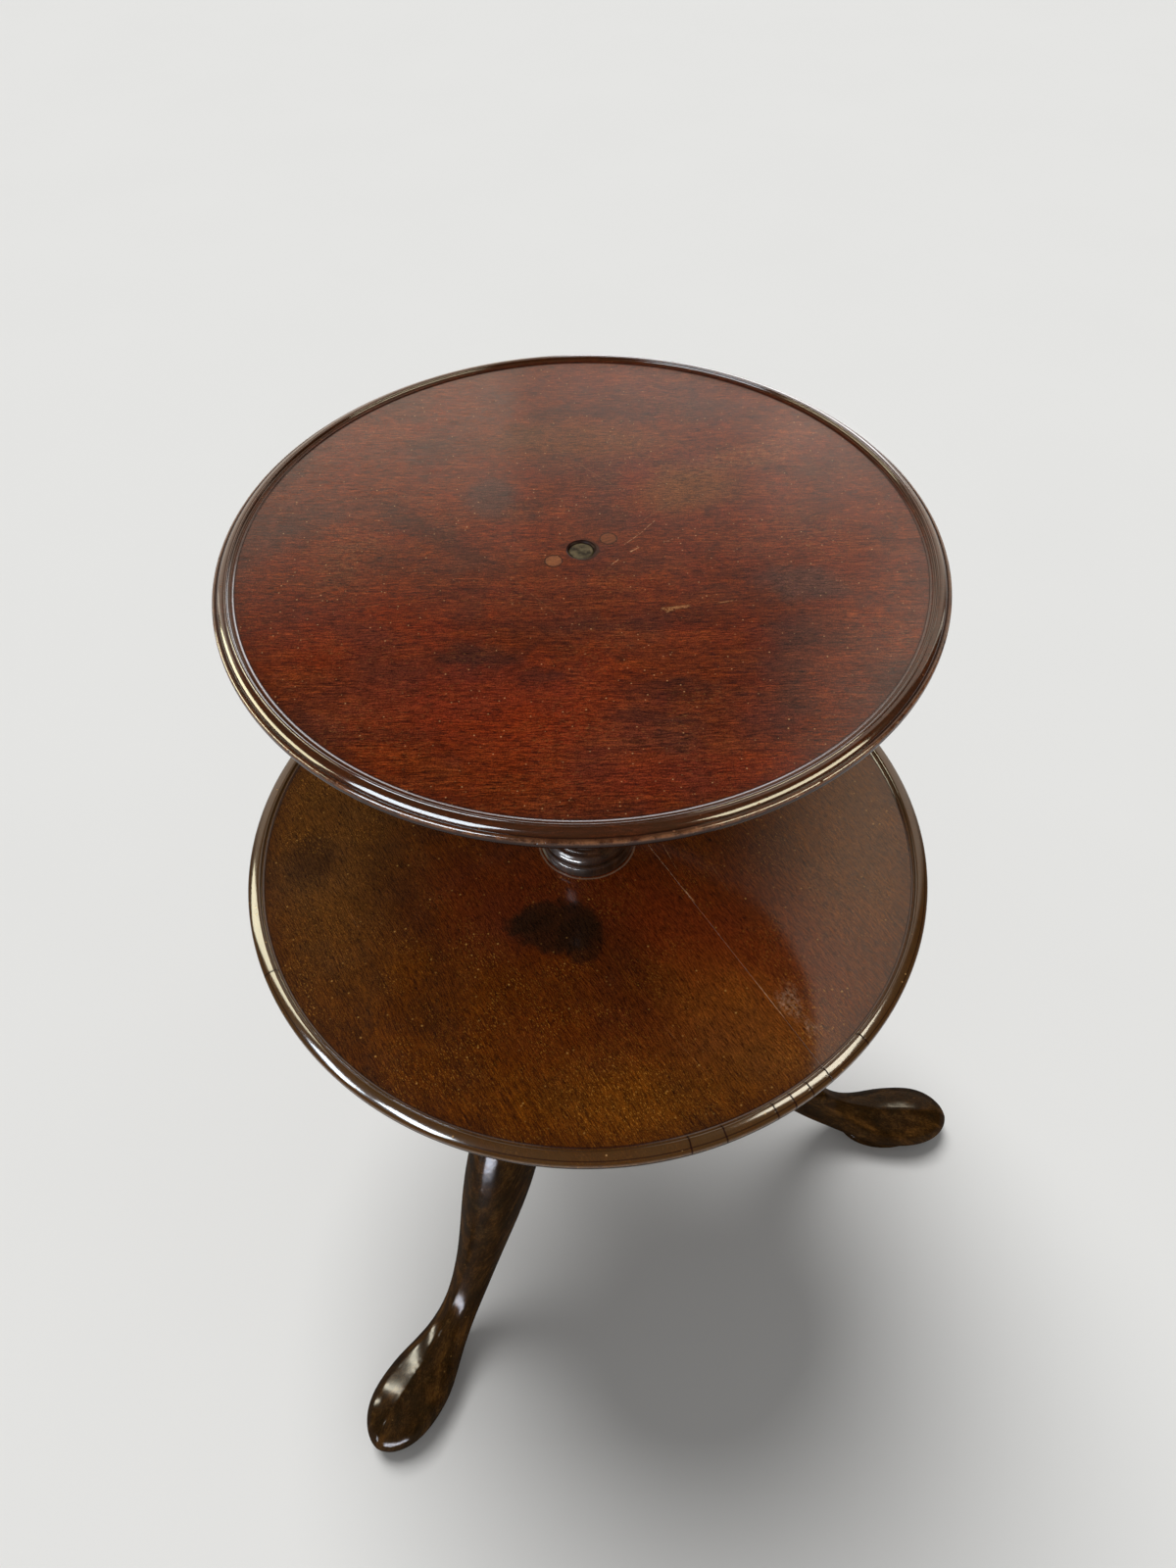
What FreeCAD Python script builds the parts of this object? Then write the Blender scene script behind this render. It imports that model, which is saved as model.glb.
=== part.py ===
import FreeCAD, Part
import math
import os
import Sketcher
from FreeCAD import Placement, Rotation, Vector

# Two-tier round serving stand on a tripod: turned column, two revolving dished trays.
# Frame: origin on the floor under the column's axis, +Z up, one leg along +X, millimetres.

legNames = ("leg_right", "leg_back", "leg_front")
screwsPerArm = 2
lowHubScrewCount = 6
sectionPoints = 16
pointTolerance = 1e-6

# Driving sizes of the stand, one cell each
sizeTable = (
    ("topTrayRadius", "230"),
    ("topFieldHeight", "866.2"),
    ("topBoardThickness", "18"),
    ("lowTrayRadius", "278.3"),
    ("lowFieldHeight", "560.9"),
    ("lowBoardThickness", "20"),
    ("rimDrop", "2.5"),
    ("edgeBeadRise", "1.5"),
    ("edgeBeadWidth", "2.3"),
    ("topRimRise", "2.6"),
    ("topOvoloWidth", "5.9"),
    ("topOvoloSwell", "1.1"),
    ("topFilletWidth", "1.6"),
    ("topQuirkDepth", "0.8"),
    ("topCoveWidth", "1.7"),
    ("topCoveHollow", "0.5"),
    ("lipWidth", "2.1"),
    ("lipRise", "0.95"),
    ("lipSwell", "0.35"),
    ("lowTorusWidth", "10.4"),
    ("lowTorusRise", "3.3"),
    ("lowQuirkRise", "0.6"),
    ("edgeUnderDepth", "6.5"),
    ("edgeUnderInset", "2.6"),
    ("underStepWidth", "2"),
    ("underBevelWidth", "27"),
    ("underBevelSwell", "1.8"),
    ("boardJointOffset", "40.6"),
    ("glueLine", "0.06"),
    ("topHubRadius", "62"),
    ("topHubHeight", "26"),
    ("lowHubRadius", "72"),
    ("lowHubHeight", "26"),
    ("hubEdgeHeight", "9"),
    ("hubCoveWidth", "13"),
    ("hubCoveHollow", "3.5"),
    ("washerThickness", "2"),
    ("washerMargin", "5"),
    ("runningFit", "0.06"),
    ("restGap", "0.3"),
    ("jointFit", "0.1"),
    ("columnFootRadius", "38.5"),
    ("columnTopRadius", "29"),
    ("columnTopHeight", "9"),
    ("tenonRadius", "17"),
    ("tenonLength", "55"),
    ("pinRadius", "8"),
    ("pinSeatDepth", "58"),
    ("pinRecess", "1"),
    ("pinChamfer", "0.8"),
    ("boreMouthChamfer", "1.1"),
    ("pelletRadius", "5"),
    ("pelletHeight", "5"),
    ("pelletSpread", "20.3"),
    ("pelletFit", "0.03"),
    ("hubScrewHeadRadius", "4.6"),
    ("hubScrewHeadHeight", "3.2"),
    ("hubScrewRadius", "2.3"),
    ("topHubScrewLength", "30"),
    ("lowHubScrewLength", "33"),
    ("lowHubScrewSpread", "56"),
    ("screwSlotWidth", "1"),
    ("screwSlotDepth", "1.1"),
    ("screwFit", "0.15"),
    ("pedestalRadius", "38"),
    ("pedestalBottom", "283"),
    ("pedestalShoulderRadius", "42"),
    ("pedestalShoulderHeight", "7"),
    ("lockPegRadius", "3.5"),
    ("lockPegDrop", "40"),
    ("lockPegHalfLength", "28.2"),
    ("lockPegChamfer", "0.8"),
    ("housingLength", "100"),
    ("housingDepth", "14"),
    ("housingMouth", "19"),
    ("housingBack", "26"),
    ("tiePlateThickness", "3"),
    ("tiePlateRadius", "30"),
    ("tieArmReach", "70"),
    ("tieArmWidth", "22"),
    ("tieScrewStart", "48"),
    ("tieScrewPitch", "13"),
    ("tieScrewHeadRadius", "3.8"),
    ("tieScrewHeadHeight", "2.4"),
    ("tieScrewRadius", "1.9"),
    ("tieScrewLength", "22"),
    ("legReach", "413"),
    ("legRootHeight", "336"),
    ("legDepth", "53"),
    ("legHalfWidth", "35"),
    ("soleCentreReach", "342"),
    ("soleHalfLength", "47"),
    ("soleHalfWidth", "28.5"),
    ("soleThickness", "9"),
    ("soleRound", "3"),
    ("overrun", "5"),
)

# Azimuths: the boards' joint on the lower tray, the two pellets on the upper tray, the tie screws' slots
boardJointAzimuth = 32.1
pelletAzimuth = 33.3
tieSlotTurns = (48, 61)
legTurn = 360 / len(legNames)

# Leg stations from the column to the toe, as shares: reach, height, half depth, half width, squareness
legStationShares = (
    (0.0485, 1.005, 1.00, 0.72, 2.7),
    (0.146, 1.007, 1.00, 0.73, 2.7),
    (0.231, 0.985, 0.99, 0.76, 2.7),
    (0.316, 0.893, 0.95, 0.80, 2.6),
    (0.388, 0.708, 0.86, 0.81, 2.5),
    (0.456, 0.512, 0.72, 0.76, 2.4),
    (0.515, 0.371, 0.57, 0.63, 2.3),
    (0.573, 0.256, 0.46, 0.545, 2.15),
    (0.636, 0.164, 0.41, 0.515, 2.05),
    (0.704, 0.108, 0.42, 0.61, 2.0),
    (0.777, 0.077, 0.46, 0.84, 2.0),
    (0.850, 0.071, 0.465, 0.985, 2.0),
    (0.922, 0.077, 0.400, 0.92, 2.0),
    (0.977, 0.068, 0.270, 0.56, 2.0),
)
legToeHeightShare = 0.058
legRidgeShare = 0.05

# Turned outlines as shares, from the bottom up: radius, height, swell of the edge that leads there
upperTurningShares = (
    (1.00, 0.0360, 0.012),
    (0.960, 0.0400, 0.0),
    (0.880, 0.0400, 0.0),
    (0.880, 0.0780, 0.075),
    (0.800, 0.0780, 0.0),
    (0.800, 0.0850, 0.0),
    (0.715, 0.0850, 0.0),
    (0.715, 0.1020, 0.030),
    (0.580, 0.1020, 0.0),
    (0.560, 0.1260, -0.035),
    (0.640, 0.1260, 0.0),
    (0.640, 0.1380, 0.022),
    (0.560, 0.1380, 0.0),
    (0.735, 0.2500, 0.090),
    (0.430, 0.4400, 0.060),
    (0.400, 0.4900, -0.012),
    (0.500, 0.4900, 0.0),
    (0.500, 0.5020, 0.018),
    (0.560, 0.5020, 0.0),
    (0.560, 0.5240, 0.032),
    (0.500, 0.5240, 0.0),
    (0.500, 0.5360, 0.018),
    (0.415, 0.5360, 0.0),
    (0.380, 0.8300, 0.016),
    (0.470, 0.8300, 0.0),
    (0.470, 0.8460, 0.026),
    (0.400, 0.8460, 0.0),
    (0.400, 0.8760, -0.012),
    (0.480, 0.8760, 0.0),
    (0.480, 0.8860, 0.0),
)
pedestalTurningShares = (
    (1.00, 0.486, 0.0),
    (1.04, 0.486, 0.0),
    (1.04, 0.498, 0.0),
    (1.08, 0.498, 0.0),
    (1.08, 0.536, 0.055),
    (1.00, 0.536, 0.0),
    (1.00, 0.546, 0.0),
    (0.78, 0.600, -0.080),
    (0.86, 0.690, 0.060),
    (0.70, 0.845, 0.035),
    (0.68, 0.865, 0.0),
    (0.80, 0.865, 0.0),
    (0.80, 0.905, 0.050),
    (0.72, 0.905, 0.0),
    (0.72, 0.925, 0.0),
)


class Size:
    # A length that carries its number and the sheet expression behind it
    def __init__(self, number, text):
        self.number = number
        self.text = text

    def __add__(self, other):
        other = asSize(other)
        return Size(self.number + other.number, f"({self.text} + {other.text})")

    def __sub__(self, other):
        other = asSize(other)
        return Size(self.number - other.number, f"({self.text} - {other.text})")

    def __mul__(self, factor):
        return Size(self.number * factor, f"({self.text} * {factor})")

    def __truediv__(self, divisor):
        return Size(self.number / divisor, f"({self.text} / {divisor})")

    def __neg__(self):
        return Size(-self.number, f"(0 - {self.text})")


def asSize(value):
    return value if isinstance(value, Size) else Size(value, str(value))


def makeSheet(doc):
    sheet = doc.addObject("Spreadsheet::Sheet", "Sizes")
    for row, (alias, number) in enumerate(sizeTable, 1):
        sheet.set(f"A{row}", alias)
        sheet.set(f"B{row}", number)
        sheet.setAlias(f"B{row}", alias)
    doc.recompute()
    return {alias: Size(float(sheet.get(alias)), f"Sizes.{alias}") for alias, number in sizeTable}


# Sketch helpers
def originPlane(body, role):
    return next(feature for feature in body.Origin.OriginFeatures if feature.Role == role)


def newSketch(body, name, role, offset=None):
    sketch = body.newObject("Sketcher::SketchObject", name)
    sketch.AttachmentSupport = [(originPlane(body, role), "")]
    sketch.MapMode = "FlatFace"
    if offset is not None:
        sketch.setExpression("AttachmentOffset.Base.z", offset.text)
    return sketch


def bind(sketch, constraint, size):
    index = sketch.addConstraint(constraint)
    sketch.setExpression(f"Constraints[{index}]", size.text)


def placePoint(sketch, geometry, end, across, up):
    for kind, size in (("DistanceX", across), ("DistanceY", up)):
        if size.number == 0:
            axis = -2 if kind == "DistanceX" else -1
            sketch.addConstraint(Sketcher.Constraint("PointOnObject", geometry, end, axis))
        else:
            bind(sketch, Sketcher.Constraint(kind, -1, 1, geometry, end, size.number), size)


def addOutline(sketch, corners):
    # Closed outline: each corner is across, up, and how far the edge that leads to it swells
    count = len(corners)
    points = [Vector(across.number, up.number, 0) for across, up, swell in corners]
    for index in range(count):
        start, end = points[index], points[(index + 1) % count]
        swellOut, swellUp = corners[(index + 1) % count][2]
        if swellOut is None and swellUp is None:
            sketch.addGeometry(Part.LineSegment(start, end), False)
        else:
            out = swellOut.number if swellOut else 0
            rise = swellUp.number if swellUp else 0
            crown = (start + end) / 2 + Vector(out, rise, 0)
            sketch.addGeometry(Part.Arc(start, crown, end), False)
    for index in range(count):
        following = (index + 1) % count
        startEnd, leaveEnd = arcEnds(sketch, index, points[index])
        nextStart = arcEnds(sketch, following, points[following])[0]
        sketch.addConstraint(Sketcher.Constraint("Coincident", index, leaveEnd, following, nextStart))
        placePoint(sketch, index, startEnd, corners[index][0], corners[index][1])
    for index in range(count):
        addCrown(sketch, index, corners[index], corners[(index + 1) % count])


def arcEnds(sketch, index, start):
    # Which end of an edge is its first point: arcs in a sketch always run anticlockwise
    return (1, 2) if sketch.getPoint(index, 1).isEqual(start, pointTolerance) else (2, 1)


def addCrown(sketch, index, corner, nextCorner):
    swellOut, swellUp = nextCorner[2]
    if swellOut is None and swellUp is None:
        return
    across = (corner[0] + nextCorner[0]) / 2
    up = (corner[1] + nextCorner[1]) / 2
    across = across + swellOut if swellOut else across
    up = up + swellUp if swellUp else up
    crown = sketch.addGeometry(Part.Point(Vector(across.number, up.number, 0)), True)
    placePoint(sketch, crown, 1, across, up)
    sketch.addConstraint(Sketcher.Constraint("PointOnObject", crown, 1, index))


def corner(across, up, swellOut=None, swellUp=None):
    return asSize(across), asSize(up), (swellOut, swellUp)


def newBody(doc, name):
    body = doc.addObject("PartDesign::Body", name)
    body.Label = name
    return body


def revolve(doc, name, corners):
    # Turned piece: an outline in the XZ plane, spun about the column's axis
    body = newBody(doc, name)
    sketch = newSketch(body, f"{name}_outline", "XZ_Plane")
    addOutline(sketch, corners)
    spin = body.newObject("PartDesign::Revolution", f"{name}_turning")
    spin.Profile = sketch
    spin.ReferenceAxis = (sketch, ["V_Axis"])
    sketch.Visibility = False
    doc.recompute()
    return body


def turnedCorners(shares, radius, base, height, swellRadius):
    corners = []
    for radiusShare, heightShare, swellShare in shares:
        swell = swellRadius * swellShare if swellShare else None
        corners.append(corner(radius * radiusShare, base + height * heightShare, swell))
    return corners


def addCircle(sketch, across, up, radius):
    circle = sketch.addGeometry(Part.Circle(Vector(across.number, up.number, 0), Vector(0, 0, 1), radius.number))
    placePoint(sketch, circle, 3, across, up)
    bind(sketch, Sketcher.Constraint("Radius", circle, radius.number), radius)


def cutPocket(doc, body, sketch, name, depth, upward):
    # The volume is compared, because a pocket that points away from the solid cuts nothing
    before = body.Shape.Volume
    pocket = body.newObject("PartDesign::Pocket", name)
    pocket.Profile = sketch
    pocket.Type = "Length"
    pocket.setExpression("Length", depth.text)
    pocket.Reversed = upward
    sketch.Visibility = False
    doc.recompute()
    if not body.Shape.Volume < before:
        raise RuntimeError(f"{name} cuts nothing")
    return pocket


def repeatRound(doc, body, features, name, count):
    pattern = body.newObject("PartDesign::PolarPattern", name)
    pattern.Originals = features
    pattern.Axis = (originPlane(body, "Z_Axis"), [""])
    pattern.Angle = 360
    pattern.Occurrences = count
    body.Tip = pattern
    doc.recompute()


def around(azimuth, reach, height):
    angle = math.radians(azimuth)
    return Vector(reach * math.cos(angle), reach * math.sin(angle), height)


# Trays
def edgeUnderside(s, radius, field, thickness):
    # From the bore's lower edge outward: bevelled underside, then the edge up to its widest line
    underside = field - thickness
    edgeRadius = radius - s["edgeUnderInset"]
    edgeHeight = field - s["edgeUnderDepth"] - s["rimDrop"]
    bevelFoot = edgeRadius - s["underStepWidth"] - s["underBevelWidth"]
    return [
        corner(bevelFoot, underside),
        corner(edgeRadius - s["underStepWidth"], edgeHeight, s["underBevelSwell"], -s["underBevelSwell"]),
        corner(edgeRadius, edgeHeight),
        corner(radius, field - s["rimDrop"], s["edgeBeadRise"] / 2, -s["edgeBeadRise"] / 2),
    ]


def topRim(s, field):
    # Edge bead, quirk, ovolo, fillet, cove and inner lip, down to the tray's field
    beadInner = s["topTrayRadius"] - s["edgeBeadWidth"]
    quirk = field - s["rimDrop"] + s["edgeBeadRise"]
    ovoloInner = beadInner - s["topOvoloWidth"]
    crest = field + s["topRimRise"]
    filletInner = ovoloInner - s["topFilletWidth"]
    coveInner = filletInner - s["topCoveWidth"]
    lip = field + s["lipRise"]
    return [
        corner(beadInner, quirk, s["edgeBeadRise"] / 3, s["edgeBeadRise"] / 3),
        corner(ovoloInner, crest, s["topOvoloSwell"], s["topOvoloSwell"]),
        corner(filletInner, crest),
        corner(filletInner, crest - s["topQuirkDepth"]),
        corner(coveInner, lip, -s["topCoveHollow"], -s["topCoveHollow"]),
        corner(coveInner - s["lipWidth"], field, None, s["lipSwell"]),
    ]


def lowRim(s, field):
    # One broad torus, a quirk and the inner lip
    torusInner = s["lowTrayRadius"] - s["lowTorusWidth"]
    quirk = field + s["lowQuirkRise"]
    swellUp = s["lowTorusRise"] - (s["lowQuirkRise"] - s["rimDrop"]) / 2
    return [
        corner(torusInner, quirk, None, swellUp),
        corner(torusInner - s["lipSwell"], field + s["lipRise"]),
        corner(torusInner - s["lipWidth"] - s["lipSwell"], field, None, s["lipSwell"]),
    ]


def bevelledBore(s, bore, field, underside):
    # The bore's mouth is eased where it meets the field
    mouth = bore + s["boreMouthChamfer"]
    return [corner(mouth, field), corner(bore, field - s["boreMouthChamfer"]), corner(bore, underside)]


def makeUpperTray(doc, s):
    field = s["topFieldHeight"]
    thickness = s["topBoardThickness"]
    bore = s["pinRadius"] + s["runningFit"]
    corners = edgeUnderside(s, s["topTrayRadius"], field, thickness) + topRim(s, field)
    corners += bevelledBore(s, bore, field, field - thickness)
    body = revolve(doc, "upper_tray", corners)
    pelletBore = s["pelletRadius"] + s["pelletFit"]
    wellDepth = s["pelletHeight"] + s["hubScrewHeadHeight"] + s["restGap"]
    for name, radius, depth in (
        ("upper_tray_pellet_wells", pelletBore, wellDepth),
        ("upper_tray_screw_ways", s["hubScrewRadius"] + s["screwFit"], thickness + s["overrun"]),
    ):
        sketch = newSketch(body, f"{name}_outline", "XY_Plane", field)
        for side in (0, 180):
            share = around(pelletAzimuth + side, 1, 0)
            addCircle(sketch, s["pelletSpread"] * share.x, s["pelletSpread"] * share.y, radius)
        cutPocket(doc, body, sketch, name, depth, False)
    return body


def makeLowerBoard(doc, s, name, inner):
    # Each board is the whole turned tray less what lies beyond the glued joint
    field = s["lowFieldHeight"]
    thickness = s["lowBoardThickness"]
    bore = s["tenonRadius"] + s["runningFit"]
    corners = edgeUnderside(s, s["lowTrayRadius"], field, thickness) + lowRim(s, field)
    corners += [corner(bore, field), corner(bore, field - thickness)]
    body = revolve(doc, name, corners)
    far = s["lowTrayRadius"] + s["overrun"]
    joint = s["boardJointOffset"]
    near, edge = (joint - s["glueLine"] / 2, far) if inner else (-far, joint + s["glueLine"] / 2)
    sketch = newSketch(body, f"{name}_joint_outline", "XY_Plane", field + s["overrun"])
    addOutline(sketch, [corner(near, -far), corner(edge, -far), corner(edge, far), corner(near, far)])
    sketch.AttachmentOffset = Placement(sketch.AttachmentOffset.Base, Rotation(Vector(0, 0, 1), boardJointAzimuth))
    cutPocket(doc, body, sketch, f"{name}_joint", thickness + s["overrun"] * 2, False)
    cutScrewWays(doc, body, s, field - thickness, s["lowHubScrewLength"] - s["lowHubHeight"], True)
    return body


def cutScrewWays(doc, body, s, start, depth, upward):
    # Screw holes in the ring that holds the lower tray on its hub
    name = f"{body.Name}_screw_ways"
    sketch = newSketch(body, f"{name}_outline", "XY_Plane", start)
    spread = s["lowHubScrewSpread"]
    for index in range(lowHubScrewCount):
        share = around(lowScrewAzimuth(index), 1, 0)
        addCircle(sketch, spread * share.x, spread * share.y, s["hubScrewRadius"] + s["screwFit"])
    cutPocket(doc, body, sketch, name, depth + s["restGap"], upward)


def lowScrewAzimuth(index):
    return boardJointAzimuth + (index + 0.5) * 360 / lowHubScrewCount


# Hubs under the trays
def hubCorners(s, bore, radius, bottom, height):
    top = bottom + height
    waist = radius - s["hubCoveWidth"]
    return [
        corner(bore, bottom),
        corner(waist, bottom),
        corner(radius, top - s["hubEdgeHeight"], -s["hubCoveHollow"], s["hubCoveHollow"]),
        corner(radius, top, s["hubEdgeHeight"] / 4),
        corner(bore, top),
    ]


def makeUpperHub(doc, s):
    bottom = s["topFieldHeight"] - s["topBoardThickness"] - s["topHubHeight"]
    corners = hubCorners(s, s["pinRadius"] + s["runningFit"], s["topHubRadius"], bottom, s["topHubHeight"])
    body = revolve(doc, "upper_hub", corners)
    sketch = newSketch(body, "upper_hub_screw_ways_outline", "XY_Plane", bottom + s["topHubHeight"])
    for side in (0, 180):
        share = around(pelletAzimuth + side, 1, 0)
        addCircle(sketch, s["pelletSpread"] * share.x, s["pelletSpread"] * share.y, s["hubScrewRadius"] + s["screwFit"])
    cutPocket(doc, body, sketch, "upper_hub_screw_ways", s["topHubHeight"] - s["hubScrewHeadHeight"], False)
    return body


def makeLowerHub(doc, s):
    bottom = s["lowFieldHeight"] - s["lowBoardThickness"] - s["lowHubHeight"]
    corners = hubCorners(s, s["tenonRadius"] + s["runningFit"], s["lowHubRadius"], bottom, s["lowHubHeight"])
    body = revolve(doc, "lower_hub", corners)
    cutScrewWays(doc, body, s, bottom, s["lowHubHeight"] + s["overrun"], True)
    name = "lower_hub_screw_seats"
    sketch = newSketch(body, f"{name}_outline", "XY_Plane", bottom)
    for index in range(lowHubScrewCount):
        share = around(lowScrewAzimuth(index), 1, 0)
        spread = s["lowHubScrewSpread"]
        addCircle(sketch, spread * share.x, spread * share.y, s["hubScrewHeadRadius"] + s["screwFit"])
    cutPocket(doc, body, sketch, name, s["hubScrewHeadHeight"] + s["restGap"], True)
    return body


# Column and pedestal
def makeUpperColumn(doc, s):
    foot = s["lowFieldHeight"] + s["restGap"]
    shoulder = upperShoulder(s)
    height = shoulder - foot
    radius = s["columnFootRadius"]
    tenonEnd = pedestalTop(s) - s["tenonLength"]
    capUnder = shoulder - s["columnTopHeight"]
    corners = [corner(0, tenonEnd), corner(s["tenonRadius"], tenonEnd), corner(s["tenonRadius"], foot)]
    corners.append(corner(radius, foot))
    corners += turnedCorners(upperTurningShares, radius, foot, height, radius)
    corners.append(corner(s["columnTopRadius"], capUnder, -s["columnTopHeight"] / 3, s["columnTopHeight"] / 3))
    corners.append(corner(s["columnTopRadius"], shoulder, s["columnTopHeight"] / 4))
    corners += [corner(s["pinRadius"] + s["pelletFit"], shoulder)]
    corners += [corner(s["pinRadius"] + s["pelletFit"], shoulder - s["pinSeatDepth"])]
    corners += [corner(0, shoulder - s["pinSeatDepth"])]
    body = revolve(doc, "upper_column", corners)
    cutPegWay(doc, body, s)
    return body


def makePedestal(doc, s):
    bottom = s["pedestalBottom"]
    top = pedestalTop(s)
    height = top - bottom
    radius = s["pedestalRadius"]
    bore = s["tenonRadius"] + s["runningFit"]
    capUnder = top - s["pedestalShoulderHeight"]
    corners = [corner(0, bottom), corner(radius, bottom)]
    corners += turnedCorners(pedestalTurningShares, radius, bottom, height, radius)
    neckSwell = s["pedestalShoulderHeight"] / 3
    corners.append(corner(s["pedestalShoulderRadius"], capUnder, -neckSwell, neckSwell))
    corners.append(corner(s["pedestalShoulderRadius"], top, s["pedestalShoulderHeight"] / 3))
    corners += [corner(bore, top), corner(bore, top - s["tenonLength"]), corner(0, top - s["tenonLength"])]
    body = revolve(doc, "pedestal", corners)
    cutPegWay(doc, body, s)
    sketch = newSketch(body, "pedestal_housing_outline", "XY_Plane", bottom)
    inner = radius - s["housingDepth"]
    mouth = s["housingMouth"] / 2
    back = s["housingBack"] / 2
    outer = radius + s["overrun"]
    corners = [corner(inner, -back), corner(radius, -mouth), corner(outer, -mouth)]
    corners += [corner(outer, mouth), corner(radius, mouth), corner(inner, back)]
    addOutline(sketch, corners)
    housing = cutPocket(doc, body, sketch, "pedestal_housing", s["housingLength"], True)
    repeatRound(doc, body, [housing], "pedestal_housings", len(legNames))
    return body


def pedestalTop(s):
    hubBottom = s["lowFieldHeight"] - s["lowBoardThickness"] - s["lowHubHeight"]
    return hubBottom - s["washerThickness"]


def upperShoulder(s):
    hubBottom = s["topFieldHeight"] - s["topBoardThickness"] - s["topHubHeight"]
    return hubBottom - s["washerThickness"]


def cutPegWay(doc, body, s):
    # Cross hole for the peg that locks the column in the pedestal
    name = f"{body.Name}_peg_way"
    outside = s["pedestalShoulderRadius"]
    sketch = newSketch(body, f"{name}_outline", "YZ_Plane", -outside)
    addCircle(sketch, asSize(0), pedestalTop(s) - s["lockPegDrop"], s["lockPegRadius"] + s["pelletFit"])
    cutPocket(doc, body, sketch, name, outside * 2, True)


def makeLockPeg(doc, s):
    half = s["lockPegHalfLength"]
    chamfer = s["lockPegChamfer"]
    radius = s["lockPegRadius"]
    corners = [corner(0, -half), corner(radius - chamfer, -half), corner(radius, chamfer - half)]
    corners += [corner(radius, half - chamfer), corner(radius - chamfer, half), corner(0, half)]
    body = revolve(doc, "column_lock_peg", corners)
    height = pedestalTop(s) - s["lockPegDrop"]
    body.Placement = Placement(Vector(0, 0, 0), Rotation(Vector(0, 1, 0), 90))
    body.setExpression("Placement.Base.z", height.text)
    return body


def makePivotPin(doc, s):
    top = s["topFieldHeight"] - s["pinRecess"]
    bottom = upperShoulder(s) - s["pinSeatDepth"] + s["restGap"]
    chamfer = s["pinChamfer"]
    radius = s["pinRadius"]
    corners = [corner(0, bottom), corner(radius - chamfer, bottom), corner(radius, bottom + chamfer)]
    corners += [corner(radius, top - chamfer), corner(radius - chamfer, top), corner(0, top)]
    return revolve(doc, "pivot_pin", corners)


def makeWasher(doc, s, name, bore, radius, bottom):
    corners = [corner(bore, bottom), corner(radius, bottom)]
    corners += [corner(radius, bottom + s["washerThickness"]), corner(bore, bottom + s["washerThickness"])]
    return revolve(doc, name, corners)


# Legs
def legSection(station, s):
    # One carved section square to the leg's run: a soft square with a low ridge along its outer side
    centre, run, halfDepth, halfWidth, squareness = station
    out = Vector(-run.z, 0, run.x)
    points = []
    for index in range(sectionPoints):
        angle = 2 * math.pi * index / sectionPoints
        cosine, sine = math.cos(angle), math.sin(angle)
        ridge = 1 + legRidgeShare if index == 0 else 1
        deep = math.copysign(abs(cosine) ** (2 / squareness), cosine) * halfDepth * ridge
        wide = math.copysign(abs(sine) ** (2 / squareness), sine) * halfWidth
        points.append(centre + out * deep + Vector(0, wide, 0))
    curve = Part.BSplineCurve()
    curve.interpolate(Points=points, PeriodicFlag=True)
    return Part.Wire([curve.toShape()])


def legStations(s):
    reach, height = s["legReach"].number, s["legRootHeight"].number
    centres = [Vector(reach * share[0], 0, height * share[1]) for share in legStationShares]
    toe = Vector(reach, 0, height * legToeHeightShare)
    line = centres + [toe]
    stations = []
    for index, share in enumerate(legStationShares):
        run = line[index + 1] - line[max(index - 1, 0)]
        run.normalize()
        depth, width = s["legDepth"].number * share[2], s["legHalfWidth"].number * share[3]
        stations.append((centres[index], run, depth, width, share[4]))
    return stations, toe


def dovetail(s):
    # Tongue that slides up into the pedestal's housing
    inner = s["pedestalRadius"].number - s["housingDepth"].number + s["jointFit"].number
    outer = s["pedestalRadius"].number + s["overrun"].number
    mouth = s["housingMouth"].number / 2 - s["jointFit"].number
    back = s["housingBack"].number / 2 - s["jointFit"].number
    radius = s["pedestalRadius"].number
    corners = [Vector(inner, -back, 0), Vector(radius, -mouth, 0), Vector(outer, -mouth, 0)]
    corners += [Vector(outer, mouth, 0), Vector(radius, mouth, 0), Vector(inner, back, 0)]
    face = Part.Face(Part.makePolygon(corners + corners[:1]))
    face.translate(Vector(0, 0, s["pedestalBottom"].number))
    return face.extrude(Vector(0, 0, s["housingLength"].number - s["jointFit"].number))


def legSole(s):
    # Low oval pad under the foot, its upper edge rounded
    ellipse = Part.Ellipse(Vector(0, 0, 0), s["soleHalfLength"].number, s["soleHalfWidth"].number)
    pad = Part.Face(Part.Wire([ellipse.toShape()])).extrude(Vector(0, 0, s["soleThickness"].number))
    pad.translate(Vector(s["soleCentreReach"].number, 0, 0))
    topEdges = [edge for edge in pad.Edges if edge.BoundBox.ZMin > s["soleThickness"].number / 2]
    return pad.makeFillet(s["soleRound"].number, topEdges)


def legShape(s):
    stations, toe = legStations(s)
    sections = [legSection(station, s) for station in stations]
    carved = Part.makeLoft(sections + [Part.Vertex(toe)], True, False)
    bottom = s["pedestalBottom"].number
    far = s["legReach"].number + s["overrun"].number
    below = Part.makeBox(far, far * 2, bottom, Vector(0, -far, -bottom))
    plateSeat = s["tieArmReach"].number + s["jointFit"].number
    width = s["legDepth"].number * 2
    underRoot = Part.makeBox(plateSeat, width * 2, bottom, Vector(0, -width, 0))
    shoulder = Part.makeCylinder(s["pedestalRadius"].number + s["jointFit"].number, bottom * 2)
    leg = carved.cut(below).cut(underRoot).cut(shoulder)
    return leg.fuse(legSole(s)).fuse(dovetail(s))


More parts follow.
